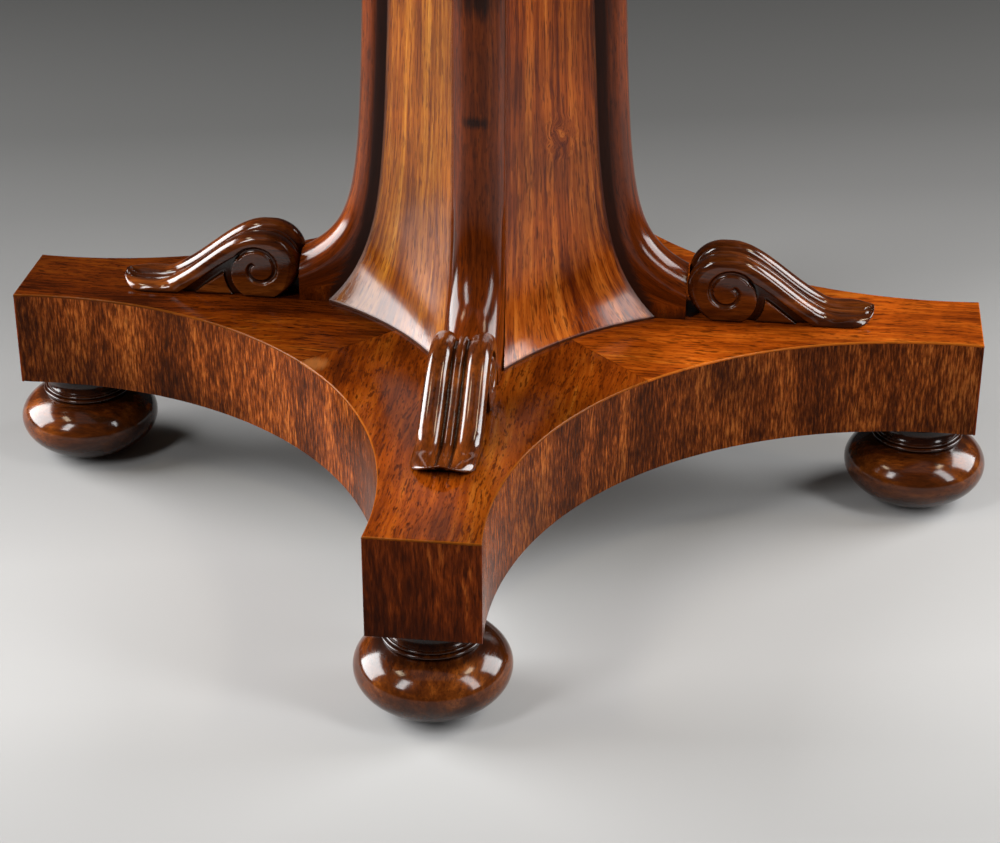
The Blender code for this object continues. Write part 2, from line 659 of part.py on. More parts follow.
panel = piece("top_panel", box((-PANEL_HALF, -PANEL_HALF, UNDERSIDE), (PANEL_HALF, PANEL_HALF, PANEL_TOP)),
              PINE, False, hinge)
holes = bmesh.new()
for side in (-1, 1):
    for y in SCREW_AT:
        hole = SCREW_RADIUS + GLUE
        pilot = ((hole, UNDERSIDE + SCREW_BITE + GLUE), (hole, UNDERSIDE - OVERCUT))
        turned(pilot, 12, (side * (bearer_near + bearer_far) / 2, y), holes)
boolean(panel, holes)

# Catch: brass plate with a sleeve, and the bolt that slides in it
plate_high = UNDERSIDE - GLUE
plate_low = plate_high - CATCH_PLATE
sleeve = BOLT_WIDE / 2 + SLIDE + SLEEVE_WALL
sleeve_low = bolt_middle - BOLT_DEEP / 2 - SLIDE - SLEEVE_WALL
section = [(-CATCH_WIDE / 2, plate_high), (-CATCH_WIDE / 2, plate_low), (-sleeve, plate_low),
           (-sleeve, sleeve_low), (sleeve, sleeve_low), (sleeve, plate_low),
           (CATCH_WIDE / 2, plate_low), (CATCH_WIDE / 2, plate_high)]
rings = [[(x, y, z) for x, z in section] for y in (CATCH_AHEAD, CATCH_AHEAD + CATCH_LONG)]
guide = piece("catch_plate", loft(rings), BRASS, False, hinge)
boolean(guide, box((-pocket, CATCH_AHEAD - OVERCUT, bolt_middle - BOLT_DEEP / 2 - SLIDE),
                   (pocket, CATCH_AHEAD + CATCH_LONG + OVERCUT, bolt_middle + BOLT_DEEP / 2 + SLIDE)))
runner = pivot("catch_runner", Vector((0.0, BOLT_AHEAD, bolt_middle)))
runner.parent = hinge
runner.matrix_parent_inverse = Matrix.Translation(-hinge.location)
bar = box((-BOLT_WIDE / 2, BOLT_AHEAD, bolt_middle - BOLT_DEEP / 2),
          (BOLT_WIDE / 2, BOLT_AHEAD + BOLT_LONG, bolt_middle + BOLT_DEEP / 2))
bolt = piece("catch_bolt", bar, BRASS, False, runner)
knob_y = BOLT_AHEAD + BOLT_LONG - KNOB_BACK
knob_top = bolt_middle - BOLT_DEEP / 2
knob = ((KNOB_RADIUS * 0.6, knob_top + BOLT_DEEP / 2), (KNOB_RADIUS * 0.6, knob_top - KNOB_DROP * 0.35),
        (KNOB_RADIUS, knob_top - KNOB_DROP * 0.5), (KNOB_RADIUS, knob_top - KNOB_DROP * 0.85),
        (KNOB_RADIUS * 0.6, knob_top - KNOB_DROP))
boolean(bolt, turned(knob, 16, (0.0, knob_y)), "UNION")


def cell(rank, file):
    return (file * SQUARE - FIELD_HALF, rank * SQUARE - FIELD_HALF)


# Dark squares stand up from one ground sheet, their corners clipped
bm = bmesh.new()
grid = [[bm.verts.new((i * SQUARE - FIELD_HALF, j * SQUARE - FIELD_HALF, FIELD_BED + SHEET))
         for i in range(RANKS + 1)] for j in range(RANKS + 1)]
for rank in range(RANKS):
    for file in range(RANKS):
        around = (grid[rank][file], grid[rank][file + 1], grid[rank + 1][file + 1], grid[rank + 1][file])
        if (rank + file) % 2:
            bm.faces.new(around)
            continue
        x0, y0 = cell(rank, file)
        low = INLAY
        high = SQUARE - INLAY
        clip = CORNER_CLIP
        shape = ((low + clip, low), (high - clip, low), (high, low + clip), (high, high - clip),
                 (high - clip, high), (low + clip, high), (low, high - clip), (low, low + clip))
        foot = [bm.verts.new((x0 + x, y0 + y, FIELD_BED + SHEET)) for x, y in shape]
        head = [bm.verts.new((x0 + x, y0 + y, FIELD_TOP)) for x, y in shape]
        for i in range(4):
            a, b = around[i], around[(i + 1) % 4]
            bm.faces.new((a, b, foot[2 * i + 1], foot[2 * i]))
            bm.faces.new((b, foot[(2 * i + 2) % 8], foot[2 * i + 1]))
        for i in range(8):
            j = (i + 1) % 8
            bm.faces.new((foot[i], foot[j], head[j], head[i]))
        bm.faces.new(head)
rim = grid[0][:-1] + [row[-1] for row in grid[:-1]] + grid[-1][:0:-1] + [row[0] for row in grid[:0:-1]]
floor = [bm.verts.new((v.co.x, v.co.y, FIELD_BED)) for v in rim]
for i in range(len(rim)):
    j = (i + 1) % len(rim)
    bm.faces.new((floor[i], floor[j], rim[j], rim[i]))
bm.faces.new(list(reversed(floor)))
piece("dark_squares", bm, DARK, False, hinge)

# Light squares are let in between them, tied corner to corner as one parquetry sheet
bm = bmesh.new()
tie = {}
sheet_low = FIELD_BED + SHEET + GLUE


def tie_point(x, y, way, z):
    key = (round(x, 6), round(y, 6), way, round(z, 6))
    if key not in tie:
        shift = way * CORNER_TIE / 2
        lean = -1 if round((x + y) / SQUARE) % 2 else 1
        tie[key] = bm.verts.new((x + shift, y + shift * lean, z))
    return tie[key]


for rank in range(RANKS):
    for file in range(RANKS):
        if (rank + file) % 2 == 0:
            continue
        x0, y0 = cell(rank, file)
        layers = []
        for z in (sheet_low, FIELD_TOP):
            loop = []
            for cx, cy in ((0, 0), (1, 0), (1, 1), (0, 1)):
                sx = 1 - 2 * cx
                sy = 1 - 2 * cy
                px = x0 + cx * SQUARE
                py = y0 + cy * SQUARE
                inside = 0 < rank + cy < RANKS and 0 < file + cx < RANKS
                near_x = px + sx * INLAY
                near_y = py + sy * INLAY
                along_x = px + sx * CORNER_CLIP
                along_y = py + sy * CORNER_CLIP
                first = (near_x, along_y)
                second = (along_x, near_y)
                order = [first, second] if sx * sy > 0 else [second, first]
                if not inside:
                    loop.append(bm.verts.new((near_x, near_y, z)))
                    continue
                loop.append(bm.verts.new((order[0][0], order[0][1], z)))
                lean = -1 if round((px + py) / SQUARE) % 2 else 1
                ends = [tie_point(px, py, way, z) for way in (-1, 1)]
                ends.sort(key=lambda v: (v.co.x - order[0][0]) ** 2 + (v.co.y - order[0][1]) ** 2)
                loop += ends
                loop.append(bm.verts.new((order[1][0], order[1][1], z)))
            layers.append(loop)
        bm.faces.new(list(reversed(layers[0])))
        bm.faces.new(layers[1])
        count = len(layers[0])
        for i in range(count):
            j = (i + 1) % count
            pair = (layers[0][i], layers[0][j])
            if all(v in tie.values() for v in pair):
                continue
            bm.faces.new((layers[0][i], layers[0][j], layers[1][j], layers[1][i]))
piece("light_squares", bm, MAPLE, False, hinge)

# Stringing round the field, crossbanded border and moulded edge
line = [(FIELD_HALF + GLUE, FIELD_BED), (STRING_HALF, FIELD_BED), (STRING_HALF, FIELD_TOP),
        (FIELD_HALF + GLUE, FIELD_TOP)]
piece("stringing", square_ring(line), BOXWOOD, False, hinge)
for k in range(4):
    rings = []
    for x in (STRING_HALF + GLUE, PANEL_HALF):
        half = x - GLUE
        corners = ((-half, FIELD_BED), (half, FIELD_BED), (half, FIELD_TOP), (-half, FIELD_TOP))
        rings.append([(x, y, z) for y, z in corners])
    piece("border_" + SIDE_NAMES[k], turn(loft(rings), k), VENEER_LOOK, False, hinge)
inner = PANEL_HALF + GLUE
low = FIELD_TOP - EDGE_DEEP
nose = [(inner, low), (TOP_HALF - EDGE_RETURN, low)]
for i in range(9):
    angle = -math.pi / 2 + math.pi * i / 8
    out = NOSE_RADIUS * (1 - math.cos(angle))
    nose.append((TOP_HALF - out, FIELD_TOP - NOSE_DROP + NOSE_RADIUS * math.sin(angle)))
nose += [(TOP_HALF - NOSE_DROP, FIELD_TOP), (inner, FIELD_TOP)]
for k in range(4):
    rings = []
    for side in (-1, 1):
        rings.append([(x, side * (x - GLUE), z) for x, z in nose])
    piece("edge_moulding_" + SIDE_NAMES[k], turn(loft(rings), k), CARVED, True, hinge)
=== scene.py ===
import math
import random

import bmesh
import bpy
from mathutils import Matrix, Vector


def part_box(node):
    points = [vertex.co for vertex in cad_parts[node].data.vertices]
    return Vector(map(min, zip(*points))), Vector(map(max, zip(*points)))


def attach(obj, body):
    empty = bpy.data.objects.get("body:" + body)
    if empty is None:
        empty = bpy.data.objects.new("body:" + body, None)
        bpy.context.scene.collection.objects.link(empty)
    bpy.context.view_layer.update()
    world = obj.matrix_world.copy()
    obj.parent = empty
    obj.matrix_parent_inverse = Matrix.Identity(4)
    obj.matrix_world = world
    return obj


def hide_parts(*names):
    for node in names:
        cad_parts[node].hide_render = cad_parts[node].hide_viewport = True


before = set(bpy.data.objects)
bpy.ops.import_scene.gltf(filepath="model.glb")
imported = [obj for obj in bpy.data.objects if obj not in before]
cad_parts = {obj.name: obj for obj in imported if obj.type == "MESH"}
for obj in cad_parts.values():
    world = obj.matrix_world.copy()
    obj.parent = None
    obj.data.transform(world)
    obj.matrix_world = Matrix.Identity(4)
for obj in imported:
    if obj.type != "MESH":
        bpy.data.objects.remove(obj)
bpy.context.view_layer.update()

# Platform core: a thick pine slab sawn with four hollow sides. It shows only from below,
# as bare planed softwood, with the end of the column's tenon let through its middle.
PINE_TONES = ((0.0, (0.30, 0.165, 0.065)), (0.45, (0.46, 0.285, 0.125)), (1.0, (0.60, 0.41, 0.21)))


def node(tree, kind, inputs, **settings):
    """One shader node with its sockets filled by values or by other nodes' outputs."""
    made = tree.nodes.new("ShaderNode" + kind)
    for key, value in settings.items():
        setattr(made, key, value)
    for key, value in inputs.items():
        if isinstance(value, bpy.types.NodeSocket):
            tree.links.new(value, made.inputs[key])
        else:
            made.inputs[key].default_value = value
    return made


def spread(tree, value, low, high, new_low=0.0, new_high=1.0):
    """Stretches a band of a value over a new range, held at both ends."""
    made = node(tree, "MapRange", {"Value": value, "From Min": low, "From Max": high,
                                   "To Min": new_low, "To Max": new_high})
    return made.outputs["Result"]


def sums(tree, operation, first, second):
    return node(tree, "Math", {0: first, 1: second}, operation=operation).outputs[0]


def vectors(tree, operation, first, second):
    """Two vectors worked together, or one scaled by a number."""
    made = node(tree, "VectorMath", {0: first, "Scale" if operation == "SCALE" else 1: second},
                operation=operation)
    return made.outputs["Value" if operation in ("DISTANCE", "DOT_PRODUCT") else "Vector"]


def noise(tree, place, scale, detail, part="Fac", roughness=0.5, distortion=0.0):
    made = node(tree, "TexNoise", {"Vector": place, "Scale": scale, "Detail": detail,
                                   "Roughness": roughness, "Distortion": distortion})
    return made.outputs[part]


def stain(tree, amount, under, over):
    """Lays one colour over another by an amount."""
    made = node(tree, "Mix", {0: amount, 6: under, 7: over}, data_type="RGBA")
    return made.outputs[2]


def ramp(tree, value, tones):
    made = node(tree, "ValToRGB", {"Fac": value})
    stops = made.color_ramp.elements
    while len(stops) < len(tones):
        stops.new(0.5)
    for stop, (place, colour) in zip(stops, tones):
        stop.position = place
        stop.color = (colour[0], colour[1], colour[2], 1.0)
    return made.outputs["Color"]


def new_finish(name):
    look = bpy.data.materials.new(name)
    look.use_nodes = True
    return look, look.node_tree, look.node_tree.nodes["Principled BSDF"]


MID_GREY = (0.5, 0.5, 0.5)
DRIFT_SIZE = 9.0
BURR_SIZE = 90.0
BURR_HEART = 0.2
CLOUD_SIZE = 14.0
CLOUD_BAND = (0.35, 0.65)
DASH_BAND = (0.57, 0.64)
VESSEL_SIZE = 1150.0
VESSEL_BAND = (0.58, 0.68)
DARK_FILL_SHARE = 0.35
GLOSS_BAND = (0.3, 0.7)
GLOSS_LESS = 0.02
GLOSS_MORE = 0.04
VESSEL_DULL = 0.15
MARK_RAGGED = 1.2
MARK_BAND = (1.75, 1.05)
PAINTED_SHADE_BAND = (0.05, 0.8)
PAINTED_SHADE_MOST = 0.9
RUBBED_BAND = (-0.15, -0.9)
RUBBED_MOST = 0.5
LINE_RELIEF = 0.3
RELIEF_DEEP = 0.0003


def timber(name, tones, turn=(0.0, 0.0, 0.0), shift=(0.0, 0.0, 0.0), stretch=0.06, figure=30.0,
           streak=300.0, fine=0.5, contrast=0.16, dash=600.0, dash_long=0.12, dash_dark=0.6, pore=0.5,
           gloss=0.16, sway=0.012, patch=0.25, relief=0.06, sheen=0.35, shade_and_wear=False, charted=False,
           dull=0.3, curl=None, marks=()):
    """Wood with its grain along the turned X axis, or along the piece's own grain chart."""
    look, tree, shader = new_finish(name)
    spot = node(tree, "TexCoord", {}).outputs["Object"]
    chart = node(tree, "Attribute", {}, attribute_name="grain").outputs["Vector"] if charted else spot
    laid = node(tree, "Mapping", {"Vector": chart, "Location": shift, "Rotation": turn}).outputs[0]
    drift = vectors(tree, "SUBTRACT", noise(tree, laid, DRIFT_SIZE, 2.0, "Color"), MID_GREY)
    grain = vectors(tree, "ADD", laid, vectors(tree, "SCALE", drift, sway))
    if curl is not None:
        place, reach, push = curl
        off = vectors(tree, "DISTANCE", spot, place)
        wild = vectors(tree, "SUBTRACT", noise(tree, spot, BURR_SIZE, 1.0, "Color"), MID_GREY)
        wild = vectors(tree, "SCALE", wild, spread(tree, off, reach, reach * BURR_HEART, 0.0, push))
        grain = vectors(tree, "ADD", grain, wild)
    fibre = vectors(tree, "MULTIPLY", grain, (stretch, 1.0, 1.0))
    broad = noise(tree, fibre, figure, 5.0, roughness=0.6, distortion=0.5)
    lines = noise(tree, fibre, streak, 4.0, roughness=0.65)
    both = sums(tree, "ADD", sums(tree, "MULTIPLY", broad, 1.0 - fine), sums(tree, "MULTIPLY", lines, fine))
    colour = ramp(tree, spread(tree, both, 0.5 - contrast, 0.5 + contrast), tones)
    cloud = noise(tree, grain, CLOUD_SIZE, 3.0)
    tone = spread(tree, cloud, *CLOUD_BAND, 1.0 - patch, 1.0 + patch)
    colour = node(tree, "HueSaturation", {"Color": colour, "Value": tone}).outputs["Color"]
    dark = tones[0][1]
    dark_fill = tuple(part * DARK_FILL_SHARE for part in dark) + (1.0,)
    drawn = vectors(tree, "MULTIPLY", grain, (dash_long, 1.0, 1.0))
    dashes = spread(tree, noise(tree, drawn, dash, 2.0), *DASH_BAND, 0.0, dash_dark)
    vessels = spread(tree, noise(tree, drawn, VESSEL_SIZE, 1.0), *VESSEL_BAND, 0.0, pore)
    colour = stain(tree, dashes, colour, dark + (1.0,))
    colour = stain(tree, vessels, colour, dark_fill)
    rough = sums(tree, "ADD", spread(tree, cloud, *GLOSS_BAND, gloss - GLOSS_LESS, gloss + GLOSS_MORE),
                 sums(tree, "MULTIPLY", vessels, VESSEL_DULL))
    for place, reach, mark, strength in marks:
        off = vectors(tree, "SUBTRACT", spot, place)
        off = vectors(tree, "MULTIPLY", off, tuple(1.0 / r for r in reach))
        away = node(tree, "VectorMath", {0: off}, operation="LENGTH").outputs["Value"]
        ragged = sums(tree, "ADD", away, sums(tree, "MULTIPLY", lines, MARK_RAGGED))
        colour = stain(tree, spread(tree, ragged, *MARK_BAND, 0.0, strength), colour, mark + (1.0,))
    # Painted shade: points deep in a hollow, or marked as shaded, are darkened and dulled; points on edges
    # are lightened as rubbed wear.
    if shade_and_wear:
        hollow = node(tree, "Attribute", {}, attribute_name="hollow").outputs["Fac"]
        painted_shade = spread(tree, hollow, *PAINTED_SHADE_BAND, 0.0, PAINTED_SHADE_MOST)
        colour = stain(tree, painted_shade, colour, dark_fill)
        rubbed = spread(tree, hollow, *RUBBED_BAND, 0.0, RUBBED_MOST)
        colour = stain(tree, rubbed, colour, tones[-1][1] + (1.0,))
        rough = sums(tree, "ADD", rough, sums(tree, "MULTIPLY", painted_shade, dull))
    height = sums(tree, "SUBTRACT", sums(tree, "MULTIPLY", lines, LINE_RELIEF), vessels)
    bump = node(tree, "Bump", {"Strength": relief, "Distance": RELIEF_DEEP, "Height": height})
    tree.links.new(colour, shader.inputs["Base Color"])
    tree.links.new(rough, shader.inputs["Roughness"])
    tree.links.new(bump.outputs["Normal"], shader.inputs["Normal"])
    shader.inputs["Specular IOR Level"].default_value = sheen
    return look


def dress(name, look):
    """Gives a solid that keeps its own shape its finish."""
    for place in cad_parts[name].material_slots:
        place.material = look


PLANK_TURN = (0.0, 0.0, -0.6)
dress("platform_core", timber("planed_pine", PINE_TONES, turn=PLANK_TURN, stretch=0.035, figure=22.0,
                              streak=120.0, fine=0.35, dash_dark=0.15, pore=0.15, gloss=0.62, relief=0.25))

# Column post and its two wedges: a square pine post inside the column, whose foot goes through
# the platform and is spread from below by two beech wedges. Only the ends show, underneath.
UPRIGHT = (0.0, math.pi / 2, 0.0)
BEECH_TONES = ((0.0, (0.34, 0.20, 0.095)), (0.5, (0.47, 0.30, 0.155)), (1.0, (0.58, 0.40, 0.22)))
dress("column_core", timber("post_pine", PINE_TONES, turn=UPRIGHT, stretch=0.035, figure=24.0,
                            streak=130.0, fine=0.35, dash_dark=0.15, pore=0.15, gloss=0.6, relief=0.25))
beech = timber("split_beech", BEECH_TONES, turn=UPRIGHT, stretch=0.05, figure=40.0, streak=260.0,
               dash=700.0, dash_dark=0.35, pore=0.4, gloss=0.5, relief=0.2)
for wedge in ("tenon_wedge_1", "tenon_wedge_2"):
    dress(wedge, beech)

# Side veneers: saw-cut rosewood bent round the four hollow sides with its grain upright, and
# glued to the core. It is dark brown with many fine orange flecks; the lower edge is eased.
ARM_NAMES = ("ne", "nw", "sw", "se")
SIDE_NAMES = ("e", "n", "w", "s")
ARM_REACH = 0.300
ARM_HALF = 0.0315
WAIST = 0.1455
VENEER = 0.0015
LOWER_EASE = 0.0005
BAY_STEPS = 72
WELD = 0.000005
NEAR = 0.000001
SIDE_TONES = ((0.0, (0.028, 0.0063, 0.00112)), (0.35, (0.0735, 0.0147, 0.00245)),
              (0.58, (0.14, 0.0294, 0.0049)), (0.8, (0.252, 0.0595, 0.0098)),
              (1.0, (0.378, 0.108, 0.0196)))
platform_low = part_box("platform_core")[0].z
platform_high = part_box("platform_top_veneer_ne")[1].z
arm_corner = Vector((ARM_REACH + ARM_HALF, ARM_REACH - ARM_HALF)) / math.sqrt(2)
bay_centre = (arm_corner.length_squared - WAIST ** 2) / (2 * (arm_corner.x - WAIST))
bay_radius = bay_centre - WAIST


def bay_sweep(end):
    """Half angle of a hollow side that stops at a distance along the arms."""
    return math.pi / 4 + math.asin((math.sqrt(2) * end - bay_centre) / (bay_radius * math.sqrt(2)))


def points(geom):
    return [v for v in geom if isinstance(v, bmesh.types.BMVert)]


def swung(bm, quarter, extra=0.0):
    """Turns a piece about the column to its own side or arm."""
    spin = Matrix.Rotation(quarter * math.pi / 2 + extra, 3, "Z")
    bmesh.ops.rotate(bm, verts=bm.verts, cent=(0.0, 0.0, 0.0), matrix=spin)
    return bm


def eased(bm, edges, width, segments=3):
    """Rounds over the given arrises."""
    bmesh.ops.bevel(bm, geom=edges, offset=width, offset_type="OFFSET", segments=segments, profile=0.5,
                    affect="EDGES", material=-1, clamp_overlap=True)
    return bm


def settle(name, bm, look, stands_for, body="stand", crease=35.0, flat_above=None):
    """Makes the finished piece: closed mesh, shading, finish, body and the node it stands for."""
    bmesh.ops.remove_doubles(bm, verts=bm.verts, dist=WELD)
    bmesh.ops.recalc_face_normals(bm, faces=bm.faces)
    mesh = bpy.data.meshes.new(name)
    bm.to_mesh(mesh)
    bm.free()
    mesh.shade_smooth()
    mesh.set_sharp_from_angle(angle=math.radians(crease))
    if flat_above is not None:
        for face in mesh.polygons:
            face.use_smooth = face.area < flat_above
    mesh.materials.append(look)
    made = bpy.data.objects.new(name, mesh)
    bpy.context.scene.collection.objects.link(made)
    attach(made, body)
    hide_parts(*stands_for)
    return made


for k, side in enumerate(SIDE_NAMES):
    sweep = bay_sweep(ARM_REACH - VENEER)
    bm = bmesh.new()
    bm.verts.new((bay_centre - bay_radius * math.cos(sweep), -bay_radius * math.sin(sweep), platform_low))
    bmesh.ops.spin(bm, geom=bm.verts[:], cent=(bay_centre, 0.0, 0.0), axis=(0.0, 0.0, 1.0),
                   dvec=(0.0, 0.0, 0.0), angle=-2 * sweep, steps=BAY_STEPS, use_duplicate=False)
    raised = bmesh.ops.extrude_edge_only(bm, edges=bm.edges[:])["geom"]
    bmesh.ops.translate(bm, verts=points(raised), vec=(0.0, 0.0, platform_high - VENEER - platform_low))
    backed = bmesh.ops.extrude_face_region(bm, geom=bm.faces[:], use_keep_orig=True)["geom"]
    axis = Vector((bay_centre, 0.0))
    for v in points(backed):
        inward = (v.co.xy - axis).normalized() * VENEER
        v.co.x += inward.x
        v.co.y += inward.y
    lower = [e for e in bm.edges if all(abs(v.co.z - platform_low) < NEAR and
                                        abs((v.co.xy - axis).length - bay_radius) < 10 * NEAR
                                        for v in e.verts)]
    eased(bm, lower, LOWER_EASE, 2)
    grain = timber("side_veneer_" + side, SIDE_TONES, turn=UPRIGHT, shift=(0.31 * k, 0.17 * k, 0.0),
                   stretch=0.16, figure=42.0, streak=720.0, fine=0.6, contrast=0.12, dash=800.0,
                   dash_dark=0.4, gloss=0.2, sway=0.006, patch=0.42, sheen=0.06)
    settle("platform_side_" + side, swung(bm, k), grain, ["platform_side_veneer_" + side])

# End veneers: one leaf of rosewood closes the end of each arm, glued to the core with its grain
# upright. Its outer arrises are eased.
END_EASE = 0.0006
FLAT_AREA = 0.0005
END_TONES = ((0.0, (0.0396, 0.0066, 0.00106)), (0.4, (0.0898, 0.0145, 0.00198)),
             (0.7, (0.172, 0.029, 0.00396)), (1.0, (0.343, 0.0766, 0.0119)))
for k, arm in enumerate(ARM_NAMES):
    bm = bmesh.new()
    bmesh.ops.create_cube(bm, size=1.0)
    bmesh.ops.scale(bm, verts=bm.verts, vec=(VENEER, 2 * ARM_HALF, platform_high - VENEER - platform_low))
    bmesh.ops.translate(bm, verts=bm.verts, vec=(ARM_REACH - VENEER / 2, 0.0,
                                                 (platform_high - VENEER + platform_low) / 2))
    outer = [e for e in bm.edges if all(v.co.x > ARM_REACH - VENEER / 2 for v in e.verts)]
    outer = [e for e in outer if any(v.co.z < platform_high - 2 * VENEER for v in e.verts)]
    eased(bm, outer, END_EASE)
    grain = timber("end_veneer_" + arm, END_TONES, turn=UPRIGHT, shift=(0.23 * k, 0.41 * k, 0.1),
                   stretch=0.15, figure=42.0, streak=420.0, fine=0.52, contrast=0.12, dash=700.0, gloss=0.2,
                   sway=0.008, patch=0.4, sheen=0.06)
    settle("platform_end_" + arm, swung(bm, k, math.pi / 4), grain, ["platform_end_veneer_" + arm],
           flat_above=FLAT_AREA)

# Top leaves: one rosewood leaf on each arm, grain along the arm, meeting its neighbours in a
# mitre on the bay's middle. The outer arris is rubbed round and pale from wear.
MITRE = 0.00015
ARRIS = 0.0009
TENON_HOLE = 0.0213
LEAF_TONES = ((0.0, (0.070, 0.011, 0.001)), (0.25, (0.170, 0.027, 0.002)), (0.5, (0.310, 0.053, 0.003)),
              (0.76, (0.440, 0.092, 0.006)), (1.0, (0.58, 0.165, 0.016)))
LEAF_PAINTED_SHADE = {"ne": 0.9, "nw": 0.7, "sw": 0.27, "se": 0.47}
PATCH_AT = (0.0075, -0.1405, 0.120)
PATCH_REACH = (0.009, 0.009, 0.01)
PATCH_TONE = (0.42, 0.16, 0.04)
PATCH_STRENGTH = 0.4
RIM_SLACK = 0.001
WORN_BAND = (0.1, 1.1)
for k, arm in enumerate(ARM_NAMES):
    sweep = bay_sweep(ARM_REACH)
    bm = bmesh.new()
    ends = []
    starts = []
    for cent, start, angle in (((bay_centre, 0.0, 0.0), (WAIST, 0.0, platform_high), -sweep),
                               ((0.0, bay_centre, 0.0), (0.0, WAIST, platform_high), sweep)):
        first = bm.verts.new(start)
        arc = bmesh.ops.spin(bm, geom=[first], cent=cent, axis=(0.0, 0.0, 1.0), dvec=(0.0, 0.0, 0.0),
                             angle=angle, steps=BAY_STEPS // 2, use_duplicate=False)
        ends.append(points(arc["geom_last"])[0])
        starts.append(first)
    starts[0].co.y = MITRE
    starts[1].co.x = MITRE
    bm.edges.new(ends)
    inner = [bm.verts.new((x, y, platform_high))
             for x, y in ((MITRE, TENON_HOLE), (TENON_HOLE, TENON_HOLE), (TENON_HOLE, MITRE))]
    chain = [starts[1]] + inner + [starts[0]]
    for a, b in zip(chain, chain[1:]):
        bm.edges.new((a, b))
    bmesh.ops.contextual_create(bm, geom=bm.edges[:])
    under = bmesh.ops.extrude_face_region(bm, geom=bm.faces[:], use_keep_orig=True)["geom"]
    bmesh.ops.translate(bm, verts=points(under), vec=(0.0, 0.0, -VENEER))
    rim = [e for e in bm.edges if all(abs(v.co.z - platform_high) < NEAR and
                                      v.co.xy.length > WAIST - RIM_SLACK for v in e.verts)]
    eased(bm, rim, ARRIS)
    shade_and_wear = bm.verts.layers.float.new("hollow")
    for v in bm.verts:
        if WORN_BAND[0] < (platform_high - v.co.z) / ARRIS < WORN_BAND[1]:
            v[shade_and_wear] = -1.0
    along = k * math.pi / 2 + math.pi / 4
    # Painted shade: each arm's leaf is its own darker or lighter copy of the one wood, set to match how light
    # falls on each arm.
    shade = LEAF_PAINTED_SHADE[arm]
    tones = [(place, tuple(part * shade for part in colour)) for place, colour in LEAF_TONES]
    repair = [(PATCH_AT, PATCH_REACH, PATCH_TONE, PATCH_STRENGTH)] if arm == "se" else []
    grain = timber("top_leaf_" + arm, tones, turn=(0.0, 0.0, -along), shift=(0.37 * k, 0.29 * k, 0.0),
                   stretch=0.08, figure=34.0, streak=320.0, fine=0.42, contrast=0.15, dash=560.0,
                   dash_long=0.17, dash_dark=0.75, gloss=0.15, sway=0.014, patch=0.35, sheen=0.06, shade_and_wear=True,
                   marks=repair)
    settle("platform_top_" + arm, swung(bm, k), grain, ["platform_top_veneer_" + arm],
           flat_above=FLAT_AREA)

# Bun feet: turned from dark rosewood with a flattened ball, two fine beads and a hollow neck.
# A spigot above the neck is glued into the platform.
FOOT_AT = 0.2667
FOOT_RADIUS = 0.0438
FOOT_MIDDLE = 0.0237
FOOT_CROWN = 0.0231
FOOT_FLAT = 0.016
BEAD_RADIUS = 0.0280
LOWER_BEAD = (0.0282, 0.0024, 0.0011)
UPPER_BEAD = (0.0269, 0.0047, 0.0009)
QUIRK_RADIUS = 0.0256
COVE_RISE = 0.0059
NECK_RADIUS = 0.0236
NECK_SEAT = 0.0262
SPIGOT_RADIUS = 0.011
SPIGOT_LENGTH = 0.030
NECK_PAINTED_SHADE = 0.0032
NECK_DARK = 0.6
JOINT_GAP = 0.00005
BALL_STEPS = 24
CROWN_STEPS = 20
BEAD_STEPS = 8
COVE_STEPS = 14
COVE_POWER = 0.8
TURNED_STEPS = 96
TURNED_PASSES = 3
TURNED_DEPTH = 0.0003
FOOT_TONES = ((0.0, (0.017, 0.0034, 0.0006)), (0.35, (0.05, 0.0098, 0.0012)),
              (0.65, (0.1, 0.0225, 0.0026)), (1.0, (0.2, 0.052, 0.0065)))
crown = FOOT_MIDDLE + FOOT_CROWN * math.sqrt(1 - (BEAD_RADIUS / FOOT_RADIUS) ** 2)
lower_height = FOOT_MIDDLE / math.sqrt(1 - (FOOT_FLAT / FOOT_RADIUS) ** 2)
seat = platform_low - JOINT_GAP
foot_line = [(0.0, 0.0)]
for i in range(BALL_STEPS + 1):
    angle = -math.acos(FOOT_FLAT / FOOT_RADIUS) * (1 - i / BALL_STEPS)
    height = max(0.0, FOOT_MIDDLE + lower_height * math.sin(angle))
    foot_line.append((FOOT_RADIUS * math.cos(angle), height))
for i in range(1, CROWN_STEPS + 1):
    angle = math.acos(BEAD_RADIUS / FOOT_RADIUS) * i / CROWN_STEPS
    foot_line.append((FOOT_RADIUS * math.cos(angle), FOOT_MIDDLE + FOOT_CROWN * math.sin(angle)))
for radius, rise, half in (LOWER_BEAD, UPPER_BEAD):
    foot_line.append((QUIRK_RADIUS, crown + rise - half))
    for i in range(BEAD_STEPS + 1):
        angle = math.pi * (i / BEAD_STEPS - 0.5)
        foot_line.append((radius - half + half * math.cos(angle), crown + rise + half * math.sin(angle)))
    foot_line.append((QUIRK_RADIUS, crown + rise + half))
cove_low = crown + COVE_RISE
for i in range(COVE_STEPS + 1):
    part = i / COVE_STEPS
    wide = QUIRK_RADIUS + (NECK_SEAT - QUIRK_RADIUS) * part
    foot_line.append((wide - (wide - NECK_RADIUS) * math.sin(math.pi * part) ** COVE_POWER,
                      cove_low + (seat - cove_low) * part))
foot_line += [(SPIGOT_RADIUS, seat), (SPIGOT_RADIUS, platform_low + SPIGOT_LENGTH),
              (0.0, platform_low + SPIGOT_LENGTH)]


